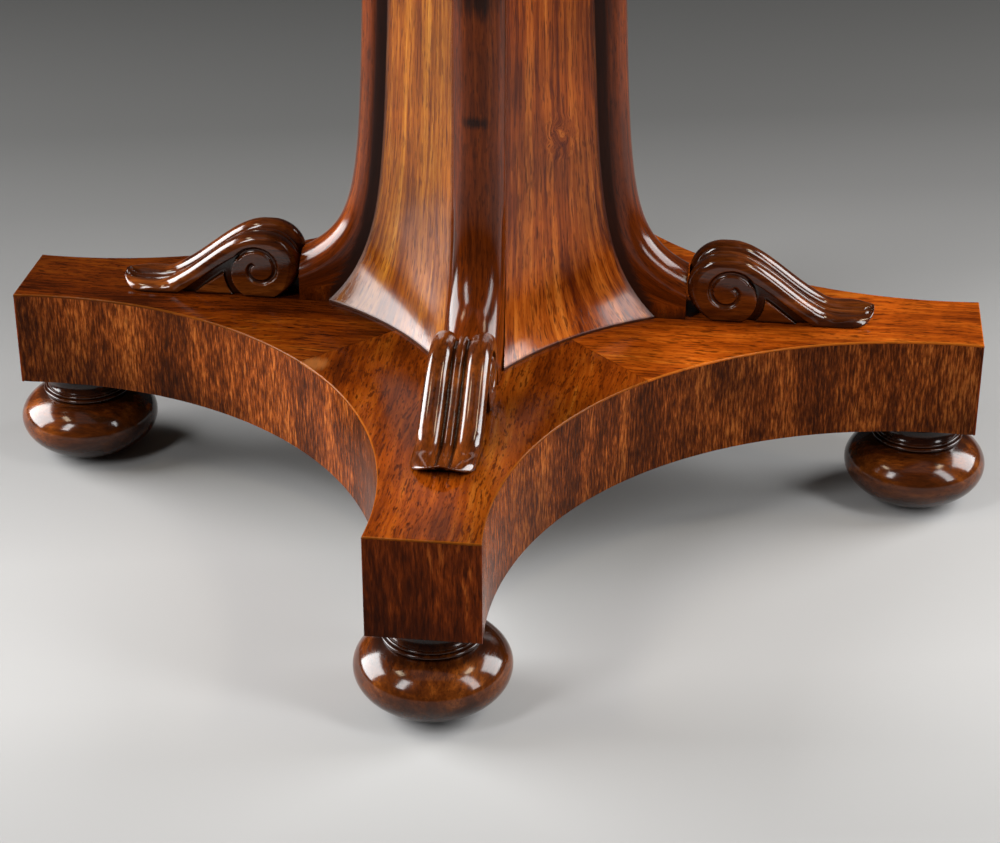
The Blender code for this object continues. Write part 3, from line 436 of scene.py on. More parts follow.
def mark_hollows(bm, passes, depth):
    """Notes on each point how far it lies in a hollow (above 0) or on an edge (below 0)."""
    layer = bm.verts.layers.float.new("hollow")
    bm.normal_update()
    before = [v.co.copy() for v in bm.verts]
    for step in range(passes):
        bmesh.ops.smooth_vert(bm, verts=bm.verts, factor=0.5, use_axis_x=True, use_axis_y=True,
                              use_axis_z=True)
    for v, place in zip(bm.verts, before):
        moved = (v.co - place).dot(v.normal)
        v[layer] = max(-1.0, min(1.0, moved / depth))
        v.co = place
    bm.normal_update()


for k, arm in enumerate(ARM_NAMES):
    angle = math.pi / 4 + k * math.pi / 2
    spot = Vector((FOOT_AT * math.cos(angle), FOOT_AT * math.sin(angle), 0.0))
    bm = bmesh.new()
    chain = [bm.verts.new((spot.x + r, spot.y, z)) for r, z in foot_line]
    for a, b in zip(chain, chain[1:]):
        bm.edges.new((a, b))
    bmesh.ops.spin(bm, geom=bm.verts[:] + bm.edges[:], cent=spot, axis=(0.0, 0.0, 1.0),
                   dvec=(0.0, 0.0, 0.0), angle=math.tau, steps=TURNED_STEPS, use_merge=True,
                   use_duplicate=False)
    bmesh.ops.remove_doubles(bm, verts=bm.verts, dist=WELD)
    bmesh.ops.recalc_face_normals(bm, faces=bm.faces)
    mark_hollows(bm, TURNED_PASSES, TURNED_DEPTH)
    hollow = bm.verts.layers.float["hollow"]
    # Painted shade: the neck and beads under the platform are darkened.
    for v in bm.verts:
        v[hollow] = max(v[hollow], min(NECK_DARK, (v.co.z - crown) / NECK_PAINTED_SHADE + 1))
    grain = timber("turned_rosewood_" + arm, FOOT_TONES, turn=(0.0, 0.0, -angle),
                   shift=(0.19 * k, 0.33 * k, 0.2), stretch=0.2, figure=60.0, streak=320.0, fine=0.3,
                   contrast=0.13, dash_dark=0.45, pore=0.4, gloss=0.1, patch=0.3, relief=0.03,
                   sheen=0.34, shade_and_wear=True, dull=0.04)
    settle("bun_foot_turned_" + arm, bm, grain, ["bun_foot_" + arm], crease=50.0)

# Column faces: four rosewood faces, slightly hollow across and flared out at the foot, veneered
# with the grain fanning out to the foot. They are darkened along the foot and beside the ribs as painted
# shade.
CORE_HALF = 0.0315
GLUE = 0.0003
FACE_HALF = 0.0594
FACE_TAPER = 0.0285
FACE_FLARE = 0.0264
FACE_FADE = 0.033
HOLLOW_TOP = 0.0008
HOLLOW_FOOT = 0.0082
RIB_HALF = 0.0156
RIB_SPREAD = 0.0030
FOOT_PAINTED_SHADE = 0.0022
FOOT_EDGE = 0.0013
SIDE_PAINTED_SHADE = 0.0045
GROOVE_PAINTED_SHADE = {"ne": (0.9, 0.9), "nw": (0.9, 0.9), "sw": (1.0, 1.0), "se": (0.7, 0.1)}
FACE_CHART = 0.042
PALE_FACE = ((0.0, (0.0627, 0.00986, 0.00066)), (0.3, (0.119, 0.0251, 0.00132)),
             (0.55, (0.188, 0.0495, 0.0033)), (0.8, (0.264, 0.0858, 0.00726)),
             (1.0, (0.343, 0.132, 0.0145)))
DARK_FACE = ((0.0, (0.0577, 0.00747, 0.000679)), (0.3, (0.139, 0.0224, 0.00136)),
             (0.55, (0.248, 0.0489, 0.00407)), (0.8, (0.367, 0.0896, 0.00883)),
             (1.0, (0.462, 0.132, 0.0177)))
FACE_TONES = {"e": DARK_FACE, "n": DARK_FACE, "w": PALE_FACE, "s": PALE_FACE}
BURR_AT = (0.0565, 0.0058, 0.2424)
BURR_REACH = 0.016
BURR_PUSH = 0.03
FACE_COLUMNS = 48
FACE_ROWS = 160
FACE_CROWDING = 2.6
GROOVE_MOST = 0.7
column_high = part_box("column_face_e")[1].z
column_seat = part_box("column_face_e")[0].z
column_height = column_high - column_seat


def face_edge(z):
    return FACE_HALF - FACE_TAPER * z + FACE_FLARE * math.exp(-z / FACE_FADE)


def face_hollow(z):
    return HOLLOW_TOP + HOLLOW_FOOT * math.exp(-z / FACE_FADE)


def rib_half(z):
    return RIB_HALF + RIB_SPREAD * math.exp(-z / FACE_FADE)


def smooth_step(value):
    held = max(0.0, min(1.0, value))
    return held * held * (3 - 2 * held)


for k, side in enumerate(SIDE_NAMES):
    bm = bmesh.new()
    hollow = bm.verts.layers.float.new("hollow")
    chart = bm.verts.layers.float_vector.new("grain")
    bmesh.ops.create_grid(bm, x_segments=FACE_COLUMNS, y_segments=FACE_ROWS, size=1.0)
    for v in bm.verts:
        across = v.co.x
        z = column_height * ((v.co.y + 1) / 2) ** FACE_CROWDING
        held = max(z, FOOT_EDGE)
        edge = face_edge(held)
        half = edge - math.sqrt(2) * (rib_half(held) + JOINT_GAP)
        v.co = (edge - face_hollow(held) * (1 - across ** 2), across * half, column_seat + z)
        # Painted shade: each face darkens beside the ribs, by a depth set for each side, and along its foot.
        painted_shade = GROOVE_PAINTED_SHADE[ARM_NAMES[k]][0] if across > 0 else GROOVE_PAINTED_SHADE[ARM_NAMES[k - 1]][1]
        painted_shade *= 1 - smooth_step(half * (1 - abs(across)) / SIDE_PAINTED_SHADE)
        v[hollow] = max(GROOVE_MOST * painted_shade, 1 - smooth_step((z - FOOT_EDGE / 2) / FOOT_PAINTED_SHADE))
        v[chart] = (z - edge, across * FACE_CHART, 0.0)
    count = len(bm.verts)
    bmesh.ops.extrude_face_region(bm, geom=bm.faces[:], use_keep_orig=True)
    bm.verts.ensure_lookup_table()
    inner = CORE_HALF + GLUE
    for v in bm.verts[count:]:
        held = max(v.co.z - column_seat, FOOT_EDGE)
        edge = face_edge(held)
        offset = math.sqrt(2) * (rib_half(held) + JOINT_GAP)
        v.co.y *= (inner - offset) / (edge - offset)
        v.co.x = inner
    burr = (BURR_AT, BURR_REACH, BURR_PUSH) if side == "e" else None
    grain = timber("column_veneer_" + side, FACE_TONES[side], shift=(0.27 * k, 0.21 * k, 0.3),
                   stretch=0.035, figure=60.0, streak=380.0, fine=0.4, contrast=0.13, dash=560.0,
                   dash_long=0.1, dash_dark=0.7, gloss=0.11, sway=0.008, patch=0.32, sheen=0.24, shade_and_wear=True,
                   charted=True, curl=burr)
    settle("column_panel_" + side, swung(bm, k), grain, ["column_face_" + side],
           crease=60.0)

# Corner ribs: half-round rosewood mouldings planted on the column's corners. They sweep out at
# the foot and run along the arms until they butt against the scrolls.
RIB_PROUD = 0.0135
RIB_END = 0.120
CREST_BASE = 0.0840
CREST_TAPER = 0.031
CREST_FLARE = 0.0354
CREST_FADE = 0.039
CREST_SWEEP = 0.162
CREST_TURN = 0.0135
RIB_ROWS = 150
RIB_TONES = ((0.0, (0.0281, 0.00468, 0.00039)), (0.35, (0.0718, 0.0117, 0.00078)),
             (0.65, (0.121, 0.0203, 0.00156)), (1.0, (0.195, 0.0421, 0.00468)))
BELOW_SEAT = 0.03
KNOTS = (((0.058, -0.060, 0.2654), (0.011, 0.011, 0.0042)),
         ((0.0603, -0.0578, 0.3357), (0.017, 0.017, 0.012)))
KNOT_TONE = (0.010, 0.002, 0.0005)
KNOT_STRENGTH = 0.9
GROOVE_DARK = 0.005
GROOVE_FADE = 0.004
FLANK_STEPS = 16
FLANK_FROM = 0.9
RIB_COLUMNS = 44
RIB_CROWDING = 2.4
CREST_STOP = 1.35
SLOPE_STEP = 0.00001
rib_inner = math.sqrt(2) * CORE_HALF - RIB_HALF + GLUE
low_crest = CREST_TURN * CREST_STOP


def crest(z):
    flare = CREST_FLARE * math.exp(-z / CREST_FADE)
    return CREST_BASE - CREST_TAPER * z + flare + CREST_SWEEP * math.exp(-z / CREST_TURN)


def slope_of(line, at):
    return (line(at + SLOPE_STEP) - line(at - SLOPE_STEP)) / (2 * SLOPE_STEP)


def face_corner(z):
    """Distance from the axis, along the arm, at which a face meets the rib's flank."""
    return math.sqrt(2) * face_edge(z) - rib_half(z) - GLUE


def edges_of(geom):
    return [e for e in geom if isinstance(e, bmesh.types.BMEdge)]


last_crest = crest(low_crest)
last_half = rib_half(low_crest)
for k, arm in enumerate(ARM_NAMES):
    bm = bmesh.new()
    hollow = bm.verts.layers.float.new("hollow")
    chart = bm.verts.layers.float_vector.new("grain")
    bmesh.ops.create_grid(bm, x_segments=RIB_COLUMNS, y_segments=RIB_ROWS, size=1.0)
    backs = []
    for v in bm.verts:
        across = math.sin(v.co.x * math.pi / 2)
        row = round((1 - v.co.y) / 2 * RIB_ROWS)
        part = min(1.0, row / (RIB_ROWS - 1))
        z = low_crest + (column_height - low_crest) * (1 - part) ** RIB_CROWDING
        slope = slope_of(crest, z)
        long = math.hypot(1.0, slope)
        sink = RIB_PROUD * (1 - math.sqrt(max(0.0, 1 - across * across)))
        lifted = z + sink * slope / long if row else z
        if row == RIB_ROWS:
            lifted = z = -BELOW_SEAT
            v.co = (last_crest - sink / long, across * last_half, column_seat + lifted)
            along = low_crest - last_crest - (low_crest + BELOW_SEAT) * (1 - slope)
        else:
            v.co = (crest(z) - sink / long, across * rib_half(z), column_seat + lifted)
            along = z - crest(z)
        v[chart] = (along, math.asin(across) * RIB_HALF, 0.0)
        backs.append(z)
    bmesh.ops.extrude_face_region(bm, geom=bm.faces[:], use_keep_orig=True)
    bm.verts.ensure_lookup_table()
    fronts = bm.verts[:len(backs)]
    for v, front, z in zip(bm.verts[len(backs):], fronts, backs):
        v[chart] = (front[chart].x, front[chart].y + math.copysign(v.co.x - rib_inner, v.co.y), 0.0)
        v.co.x = rib_inner
        v.co.z = column_seat + z
    fronts = set(fronts)
    flank = [e for e in bm.edges if (e.verts[0] in fronts) != (e.verts[1] in fronts)]
    bmesh.ops.subdivide_edges(bm, edges=flank, cuts=FLANK_STEPS, use_grid_fill=True)
    # Painted shade: each flank darkens towards the face it meets, by a depth set for each side, and the rib
    # darkens along its foot.
    for v in bm.verts:
        z = max(0.0, v.co.z - column_seat)
        if abs(v.co.y) > FLANK_FROM * rib_half(z):
            gap = v.co.x - face_corner(z) - GROOVE_DARK
            v[hollow] = GROOVE_PAINTED_SHADE[arm][int(v.co.y > 0)] * (1 - smooth_step(gap / GROOVE_FADE))
        v[hollow] = max(v[hollow], 1 - smooth_step(z / FOOT_PAINTED_SHADE))
    for spot, way in (((0, 0, column_seat), (0, 0, -1)), ((RIB_END, 0, 0), (1, 0, 0))):
        whole = bm.verts[:] + bm.edges[:] + bm.faces[:]
        cut = bmesh.ops.bisect_plane(bm, geom=whole, plane_co=spot, plane_no=way, clear_outer=True)
        bmesh.ops.contextual_create(bm, geom=edges_of(cut["geom_cut"]))
    knots = [(place, reach, KNOT_TONE, KNOT_STRENGTH) for place, reach in KNOTS] if arm == "se" else []
    grain = timber("rib_rosewood_" + arm, RIB_TONES, shift=(0.13 * k, 0.31 * k, 0.4), stretch=0.045,
                   figure=50.0, streak=360.0, fine=0.45, dash_dark=0.45, gloss=0.12, patch=0.2, relief=0.04,
                   sheen=0.26, shade_and_wear=True, charted=True, marks=knots)
    settle("corner_rib_swept_" + arm, swung(bm, k, math.pi / 4), grain, ["corner_rib_" + arm],
           crease=45.0)

# Scroll brackets: carved from solid rosewood and glued down along the arms. A band of two round
# lobes and a fine ridge curls back into a volute; the spandrel below it is sunk on both sides.
VOLUTE_RADIUS = 0.0210
VOLUTE_HEIGHT = 0.0205
OGEE_LEAD = 0.0044
TAIL_LOW = 0.2166
TAIL_CURL = 0.0179
TAIL_DEPTH = 0.0050
TAIL_EDGE = 0.0014
TIP_LIFT = 0.0032
TIP_ARCH = 0.0085
LIP_THICK = 0.0014
LIP_LOW = 0.0004
TOE_BACK = 0.0085
TIP_CORNER = 0.0195
TIP_LENGTH = 0.036
SCROLL_HALF = 0.0178
SPANDREL_HALF = 0.0133
BAND_DEPTH = 0.0110
LOBE_EDGE = 0.0058
LOBE_VALLEY = 0.0054
LOBE_RIDGE = 0.0024
LOBE_MIDDLE = 0.62
LOBE_HALF = 0.38
RIDGE_WIDE = 0.135
CURL_RADIUS = 0.0165
CURL_FORWARD = 0.0050
CURL_DROP = 0.006
HORN_END = 0.0112
FIELD_DROP = 0.0072
FIELD_GAP = 0.0052
FIELD_RISE = 0.0026
FIELD_EASE = 0.0022
SPIRAL_CENTRE = (0.1456, 0.0184)
SPIRAL_START = math.radians(27)
SPIRAL_STOP = math.radians(410)
SPIRAL_WIDE = 0.0149
SPIRAL_NARROW = 0.0045
GROOVE_START = 0.0019
GROOVE_STOP = 0.0013
CARVE_GRAIN = 0.00048
SUNK_PAINTED_SHADE = 0.0010
VALLEY_FADE = 0.05
TAIL_SPREAD = 0.06
UNDER_PAINTED_SHADE = 0.5
BACK_ROWS = 64
BACK_FADE = 0.3
OGEE_ROWS = 96
SCROLL_COLUMNS = 60
TIP_POWER = 4
ARCH_POWER = 1.4
RIDGE_POWER = 4
TOE_ROUND = 0.8
SEEK_STEP = 0.0001
LINE_STEPS = 36
FIELD_ROOT = 0.1
FIELD_FOOT = -0.004
CUT_FOOT = -0.002
SPIRAL_STEPS = 120
GROOVE_SIDES = 14
POLISH_PASSES = 6
CARVED_PASSES = 8
CARVED_DEPTH = 0.00025
SUNK_DARK = 0.7
VALLEY_DARK = 0.8
UNDER_DARK = 0.8
SCROLL_TONES = ((0.0, (0.0187, 0.0036, 0.000576)), (0.4, (0.054, 0.0108, 0.00144)),
                (0.72, (0.108, 0.0238, 0.00288)), (1.0, (0.202, 0.0518, 0.0072)))
volute_at = RIB_END + GLUE + VOLUTE_RADIUS
volute_top = VOLUTE_HEIGHT + VOLUTE_RADIUS
tail_tip = TAIL_LOW + TAIL_CURL
valley_at = (LOBE_MIDDLE - LOBE_HALF + RIDGE_WIDE) / 2
valley_half = (LOBE_MIDDLE - LOBE_HALF - RIDGE_WIDE) / 2 - VALLEY_FADE


def ogee(u):
    """Height of the band's crest from the volute out to the tip."""
    lead = volute_at + OGEE_LEAD
    if u <= TAIL_LOW:
        part = smooth_step((u - lead) / (TAIL_LOW - lead))
        return volute_top - (volute_top - TAIL_DEPTH) * part
    return TAIL_DEPTH + TIP_LIFT * ((u - TAIL_LOW) / TAIL_CURL) ** 2


def lobes(across):
    """Depth of the band's face below its crest, from edge to edge."""
    out = abs(across)
    round_part = min(1.0, abs(out - LOBE_MIDDLE) / LOBE_HALF)
    lobe = LOBE_EDGE * (1 - math.sqrt(1 - round_part ** 2))
    ridge_part = min(1.0, out / RIDGE_WIDE)
    fall = 1 - (1 - ridge_part ** RIDGE_POWER) ** (1 / RIDGE_POWER)
    ridge = LOBE_RIDGE + (LOBE_VALLEY - LOBE_RIDGE) * fall
    return min(lobe, ridge) if out < LOBE_MIDDLE else lobe


def tip_round(across):
    """How far the rounded end of the tip lies behind its middle."""
    return TIP_CORNER * (1 - math.sqrt(1 - min(1.0, abs(across)) ** 2))


def carved_scroll():
    """The whole bracket before its flanks are carved: band, base and rounded, lifted tip."""
    bm = bmesh.new()
    bmesh.ops.create_grid(bm, x_segments=SCROLL_COLUMNS, y_segments=BACK_ROWS + OGEE_ROWS, size=1.0)
    start = math.pi + math.asin(VOLUTE_HEIGHT / VOLUTE_RADIUS)
    ends = {"base": [], "tip": []}
    for v in bm.verts:
        across = v.co.x
        row = round((v.co.y + 1) / 2 * (BACK_ROWS + OGEE_ROWS))
        if row <= BACK_ROWS:
            angle = start + (math.pi / 2 - start) * row / BACK_ROWS
            u = volute_at + VOLUTE_RADIUS * math.cos(angle)
            z = VOLUTE_HEIGHT + VOLUTE_RADIUS * math.sin(angle)
            normal = (-math.cos(angle), -math.sin(angle))
            fade = min(1.0, row / (BACK_FADE * BACK_ROWS))
        else:
            u = volute_at + (tail_tip - volute_at) * (row - BACK_ROWS) / OGEE_ROWS
            z = ogee(u)
            slope = slope_of(ogee, u)
            normal = (slope / math.hypot(1, slope), -1 / math.hypot(1, slope))
            fade = min(1.0, (z - TAIL_EDGE) / LOBE_EDGE)
        tail = max(0.0, (u - TAIL_LOW) / TAIL_CURL) ** TIP_POWER if row > BACK_ROWS else 0.0
        sink = lobes(across) * min(fade, 1 - tail) + TIP_ARCH * abs(across) ** ARCH_POWER * tail
        pull = max(0.0, 1 - (tail_tip - u) / TIP_LENGTH) if row > BACK_ROWS else 0.0
        v.co = (u + normal[0] * sink - tip_round(across) * pull, across * SCROLL_HALF,
                column_seat + z + normal[1] * sink)
        if row == 0:
            ends["base"].append(v)
        if row == BACK_ROWS + OGEE_ROWS:
            ends["tip"].append(v)
    tip = [e for e in bm.edges if all(v in ends["tip"] for v in e.verts)]
    for drop in (True, False):
        pulled = bmesh.ops.extrude_edge_only(bm, edges=tip)["geom"]
        tip = [e for e in edges_of(pulled) if all(w in pulled for w in e.verts)]
        for v in points(pulled):
            if drop:
                v.co.z = max(column_seat + LIP_LOW, v.co.z - LIP_THICK)
            else:
                out = abs(v.co.y) / SCROLL_HALF
                v.co.x = tail_tip - tip_round(out) - TOE_BACK * (1 - TOE_ROUND * out ** 2)
                v.co.z = column_seat
    toe = points(pulled)
    close = []
    for side in (-1, 1):
        outer = [min(group, key=lambda v: abs(v.co.y - side * SCROLL_HALF)) for group in (ends["base"], toe)]
        close.append(bm.edges.new(outer))
    rim = [e for e in bm.edges if len(e.link_faces) < 2 and e not in close]
    for side, edge in zip((-1, 1), close):
        flank = [e for e in rim if all(abs(v.co.y - side * SCROLL_HALF) < NEAR for v in e.verts)]
        bmesh.ops.contextual_create(bm, geom=flank + [edge])
    open_rim = [e for e in bm.edges if len(e.link_faces) < 2]
    bmesh.ops.contextual_create(bm, geom=open_rim)
    bmesh.ops.recalc_face_normals(bm, faces=bm.faces)
    return bm


def plain_object(name, bm):
    mesh = bpy.data.meshes.new(name)
    bm.to_mesh(mesh)
    bm.free()
    made = bpy.data.objects.new(name, mesh)
    bpy.context.scene.collection.objects.link(made)
    return made


def spandrel_line(last, depth, radius, foot_z):
    """Outline under the band, down the curl's side and along the base."""
    first = volute_at
    while ogee(first) > depth:
        first += SEEK_STEP
    line = [(first, foot_z)]
    for i in range(LINE_STEPS + 1):
        u = first + (last - first) * i / LINE_STEPS
        line.append((u, ogee(u) - depth))
    curl = (volute_at + CURL_FORWARD, VOLUTE_HEIGHT - CURL_DROP)
    swing = math.acos((last - curl[0]) / radius)
    foot = -math.asin(curl[1] / radius)
    for i in range(LINE_STEPS + 1):
        angle = swing + (foot - swing) * i / LINE_STEPS
        line.append((curl[0] + radius * math.cos(angle), curl[1] + radius * math.sin(angle)))
    line.append((line[-1][0], foot_z))
    return line


def slab(line, start, thick):
    """A flat piece with the given outline, as thick as asked across the scroll."""
    bm = bmesh.new()
    bm.faces.new([bm.verts.new((u, start, column_seat + z)) for u, z in line])
    out = bmesh.ops.extrude_face_region(bm, geom=bm.faces[:], use_keep_orig=True)["geom"]
    bmesh.ops.translate(bm, verts=points(out), vec=(0.0, thick, 0.0))
    bmesh.ops.recalc_face_normals(bm, faces=bm.faces)
    return bm


def take_away(piece, cutter):
    step = piece.modifiers.new("cut", "BOOLEAN")
    step.operation = "DIFFERENCE"
    step.solver = "MANIFOLD"
    step.object = cutter


def field(side):
    """The raised triangle left standing in the middle of the spandrel."""
    depth = BAND_DEPTH + FIELD_DROP
    radius = CURL_RADIUS + FIELD_GAP
    curl = (volute_at + CURL_FORWARD, VOLUTE_HEIGHT - CURL_DROP)
    last = curl[0]
    while math.hypot(last - curl[0], ogee(last) - depth - curl[1]) < radius or last - curl[0] < radius / 2:
        last += SEEK_STEP
    line = spandrel_line(last, depth, radius, FIELD_FOOT)
    bm = slab(line, side * SPANDREL_HALF * (1 - FIELD_ROOT), side * (SPANDREL_HALF * FIELD_ROOT + FIELD_RISE))
    outer = [e for e in bm.edges if all(abs(v.co.y) > SPANDREL_HALF + FIELD_RISE / 2 for v in e.verts)]
    eased(bm, outer, FIELD_EASE, 2)
    return plain_object("field_left", bm)


def spandrel(side, standing):
    """Cutter for the sunk spandrel between the band and the volute, less the field."""
    line = spandrel_line(volute_at + HORN_END, BAND_DEPTH, CURL_RADIUS, CUT_FOOT)
    made = plain_object("spandrel_cut", slab(line, side * SPANDREL_HALF, side * SCROLL_HALF))
    take_away(made, standing)
    return made


def spiral(side):
    """Cutter for the incised spiral that runs from the spandrel to the volute's eye."""
    bm = bmesh.new()
    middle = []
    for i in range(SPIRAL_STEPS + 1):
        part = i / SPIRAL_STEPS
        angle = SPIRAL_START + (SPIRAL_STOP - SPIRAL_START) * part
        radius = SPIRAL_WIDE + (SPIRAL_NARROW - SPIRAL_WIDE) * part
        middle.append((Vector((SPIRAL_CENTRE[0] + radius * math.cos(angle), side * SCROLL_HALF,
                               column_seat + SPIRAL_CENTRE[1] + radius * math.sin(angle))),
                       Vector((math.cos(angle), 0.0, math.sin(angle))),
                       GROOVE_START + (GROOVE_STOP - GROOVE_START) * part))
    rings = []
    for place, outward, radius in middle:
        ring = bmesh.ops.create_circle(bm, cap_ends=False, segments=GROOVE_SIDES, radius=radius)["verts"]
        for v in ring:
            v.co = place + outward * v.co.x + Vector((0.0, v.co.y, 0.0))
        rings.append(ring)
    for low, high in zip(rings, rings[1:]):
        edges = [e for e in bm.edges if all(v in low for v in e.verts) or all(v in high for v in e.verts)]
        bmesh.ops.bridge_loops(bm, edges=edges)
    for ring in (rings[0], rings[-1]):
        bmesh.ops.contextual_create(bm, geom=[e for e in bm.edges if all(v in ring for v in e.verts)])
    bmesh.ops.recalc_face_normals(bm, faces=bm.faces)
    return plain_object("spiral_cut", bm)


blank = plain_object("scroll_blank", carved_scroll())
fields = [field(-1), field(1)]
cutters = [spandrel(-1, fields[0]), spandrel(1, fields[1]), spiral(-1), spiral(1)]
for cutter in cutters:
    take_away(blank, cutter)
step = blank.modifiers.new("carve", "REMESH")
step.mode = "VOXEL"
step.voxel_size = CARVE_GRAIN
step = blank.modifiers.new("polish", "SMOOTH")
step.factor = 0.5
step.iterations = POLISH_PASSES
bpy.context.view_layer.update()
carved = bpy.data.meshes.new_from_object(blank.evaluated_get(bpy.context.evaluated_depsgraph_get()))
for old in [blank] + cutters + fields:
    bpy.data.objects.remove(old)
for k, arm in enumerate(ARM_NAMES):
    bm = bmesh.new()
    bm.from_mesh(carved)
    mark_hollows(bm, CARVED_PASSES, CARVED_DEPTH)
    hollow = bm.verts.layers.float["hollow"]
    # Painted shade: the sunk spandrels, the valleys beside the ridge, every downward-facing surface and the
    # foot are darkened.
    for v in bm.verts:
        u, across, z = v.co.x, abs(v.co.y), v.co.z - column_seat
        sunk = (across < SPANDREL_HALF + SUNK_PAINTED_SHADE and u > volute_at
                and z < ogee(u) - BAND_DEPTH + SUNK_PAINTED_SHADE)
        off = abs(across / SCROLL_HALF - valley_at) - valley_half
        valley = (1 - smooth_step(off / VALLEY_FADE)) * (1 - smooth_step((u - TAIL_LOW) / TAIL_CURL))
        under = smooth_step(-v.normal.z / UNDER_PAINTED_SHADE)
        v[hollow] = max(v[hollow], 1 - smooth_step(z / FOOT_PAINTED_SHADE), SUNK_DARK * sunk, VALLEY_DARK * valley,
                        UNDER_DARK * under)
        v.co.y *= 1 + TAIL_SPREAD * smooth_step((u - volute_at) / (tail_tip - volute_at))
    along = k * math.pi / 2 + math.pi / 4
    grain = timber("carved_rosewood_" + arm, SCROLL_TONES, turn=(0.0, 0.0, -along),
                   shift=(0.11 * k, 0.23 * k, 0.5), stretch=0.12, figure=50.0, streak=320.0, fine=0.36,
                   dash_dark=0.45, pore=0.35, gloss=0.1, patch=0.3, relief=0.02, sheen=0.5, shade_and_wear=True,
                   dull=0.12)
    settle("scroll_carved_" + arm, swung(bm, k, math.pi / 4), grain, ["scroll_bracket_" + arm],
           crease=180.0)
bpy.data.meshes.remove(carved)

# Collar: a rosewood moulding mitred round the head of the column, with a step, a cove and a
# fillet under the block. It hides the joint between column and block.
COLLAR_FOOT = 0.0520
COLLAR_HEAD = 0.0750
COLLAR_STEP = 0.005
COLLAR_COVE = 0.015
COLLAR_QUIRK = 0.002
COLLAR_LIP = 0.021
COLLAR_STEPS = 24
COLLAR_EASE = 0.0006
COLLAR_INSIDE = 0.003
SHARP = 40
collar_low, collar_high = (corner.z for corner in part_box("collar_moulding"))
collar_line = [(CORE_HALF + GLUE, collar_low), (COLLAR_FOOT, collar_low),
               (COLLAR_FOOT, collar_low + COLLAR_STEP)]
for i in range(COLLAR_STEPS + 1):
    angle = math.pi / 2 * i / COLLAR_STEPS
    out = (COLLAR_HEAD - COLLAR_FOOT - 2 * COLLAR_QUIRK) * (1 - math.cos(angle))
    rise = COLLAR_STEP + COLLAR_COVE * math.sin(angle)
    collar_line.append((COLLAR_FOOT - COLLAR_QUIRK + out, collar_low + rise))
collar_line += [(COLLAR_HEAD, collar_low + COLLAR_LIP), (COLLAR_HEAD, collar_high),
                (CORE_HALF + GLUE, collar_high)]


def framed(line, corners, closed_ends):
    """Carries a moulding's section round the corners of a square, mitred at each."""
    bm = bmesh.new()
    chain = [bm.verts.new((half, -half, z)) for half, z in line]
    for a, b in zip(chain, chain[1:] + chain[:1]):
        bm.edges.new((a, b))
    section = bm.edges[:]
    last = bmesh.ops.spin(bm, geom=bm.verts[:] + section, cent=(0.0, 0.0, 0.0), axis=(0.0, 0.0, 1.0),
                          dvec=(0.0, 0.0, 0.0), angle=corners * math.pi / 2, steps=corners,
                          use_merge=not closed_ends, use_duplicate=False)["geom_last"]
    if closed_ends:
        bmesh.ops.contextual_create(bm, geom=section)
        bmesh.ops.contextual_create(bm, geom=edges_of(last))
    bmesh.ops.remove_doubles(bm, verts=bm.verts, dist=WELD)
    bmesh.ops.recalc_face_normals(bm, faces=bm.faces)
    return bm


def sharp_edges(bm, angle):
    return [e for e in bm.edges if len(e.link_faces) == 2 and e.calc_face_angle(0.0) > math.radians(angle)]


bm = framed(collar_line, 4, False)
level = [e for e in sharp_edges(bm, SHARP) if abs(e.verts[0].co.z - e.verts[1].co.z) < NEAR]
outside = COLLAR_FOOT - COLLAR_INSIDE
eased(bm, [e for e in level if max(abs(v) for v in e.verts[0].co.xy) > outside], COLLAR_EASE, 2)
grain = timber("collar_rosewood", RIB_TONES, shift=(0.2, 0.7, 0.1), stretch=0.07, figure=40.0, gloss=0.15)
settle("collar_mitred", bm, grain, ["collar_moulding"])

# Pivot block: a mahogany block tenoned on the column, with one end rounded so that the top can
# swing past it. Two beech pins in its sides carry the bearers.
BLOCK_EASE = 0.0007
PIN_EASE = 0.0006
FLAT_TURN = 0.5
MAHOGANY_TONES = ((0.0, (0.095, 0.031, 0.013)), (0.4, (0.19, 0.066, 0.027)),
                  (0.75, (0.27, 0.105, 0.045)), (1.0, (0.36, 0.155, 0.07)))


def softened(name, width, angle=SHARP, segments=2):
    """A solid's own shape with its arrises eased."""
    bm = bmesh.new()
    bm.from_mesh(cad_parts[name].data)
    bmesh.ops.remove_doubles(bm, verts=bm.verts, dist=2 * WELD)
    bmesh.ops.dissolve_limit(bm, angle_limit=math.radians(FLAT_TURN), use_dissolve_boundaries=False,
                             verts=bm.verts, edges=bm.edges, delimit=set())
    return eased(bm, sharp_edges(bm, angle), width, segments)


mahogany = timber("waxed_mahogany", MAHOGANY_TONES, turn=(0.0, 0.0, -math.pi / 2), stretch=0.05,
                  figure=34.0, dash_dark=0.4, gloss=0.36, relief=0.15)
settle("pivot_block_eased", softened("pivot_block", BLOCK_EASE), mahogany, ["pivot_block"],
       crease=40.0)
for side in ("e", "w"):
    pin = softened("pivot_pin_" + side, PIN_EASE)
    settle("pivot_pin_turned_" + side, pin, beech, ["pivot_pin_" + side], crease=40.0)

# Catch keeper: a small brass plate let into the block's front, pierced for the bolt. Its surface
# is rubbed by use and tarnished in patches.
KEEPER_EASE = 0.00025
TARNISH_SIZE = 160.0
TARNISH_BAND = (0.3, 0.7)
TARNISH_DULL = 0.15
SCRATCH_SIZE = 900.0
SCRATCH_LONG = 0.05
SCRATCH_RELIEF = 0.06
SCRATCH_DEEP = 0.0001
BRASS_TONES = ((0.0, (0.26, 0.145, 0.045)), (0.5, (0.56, 0.37, 0.13)), (1.0, (0.72, 0.52, 0.22)))


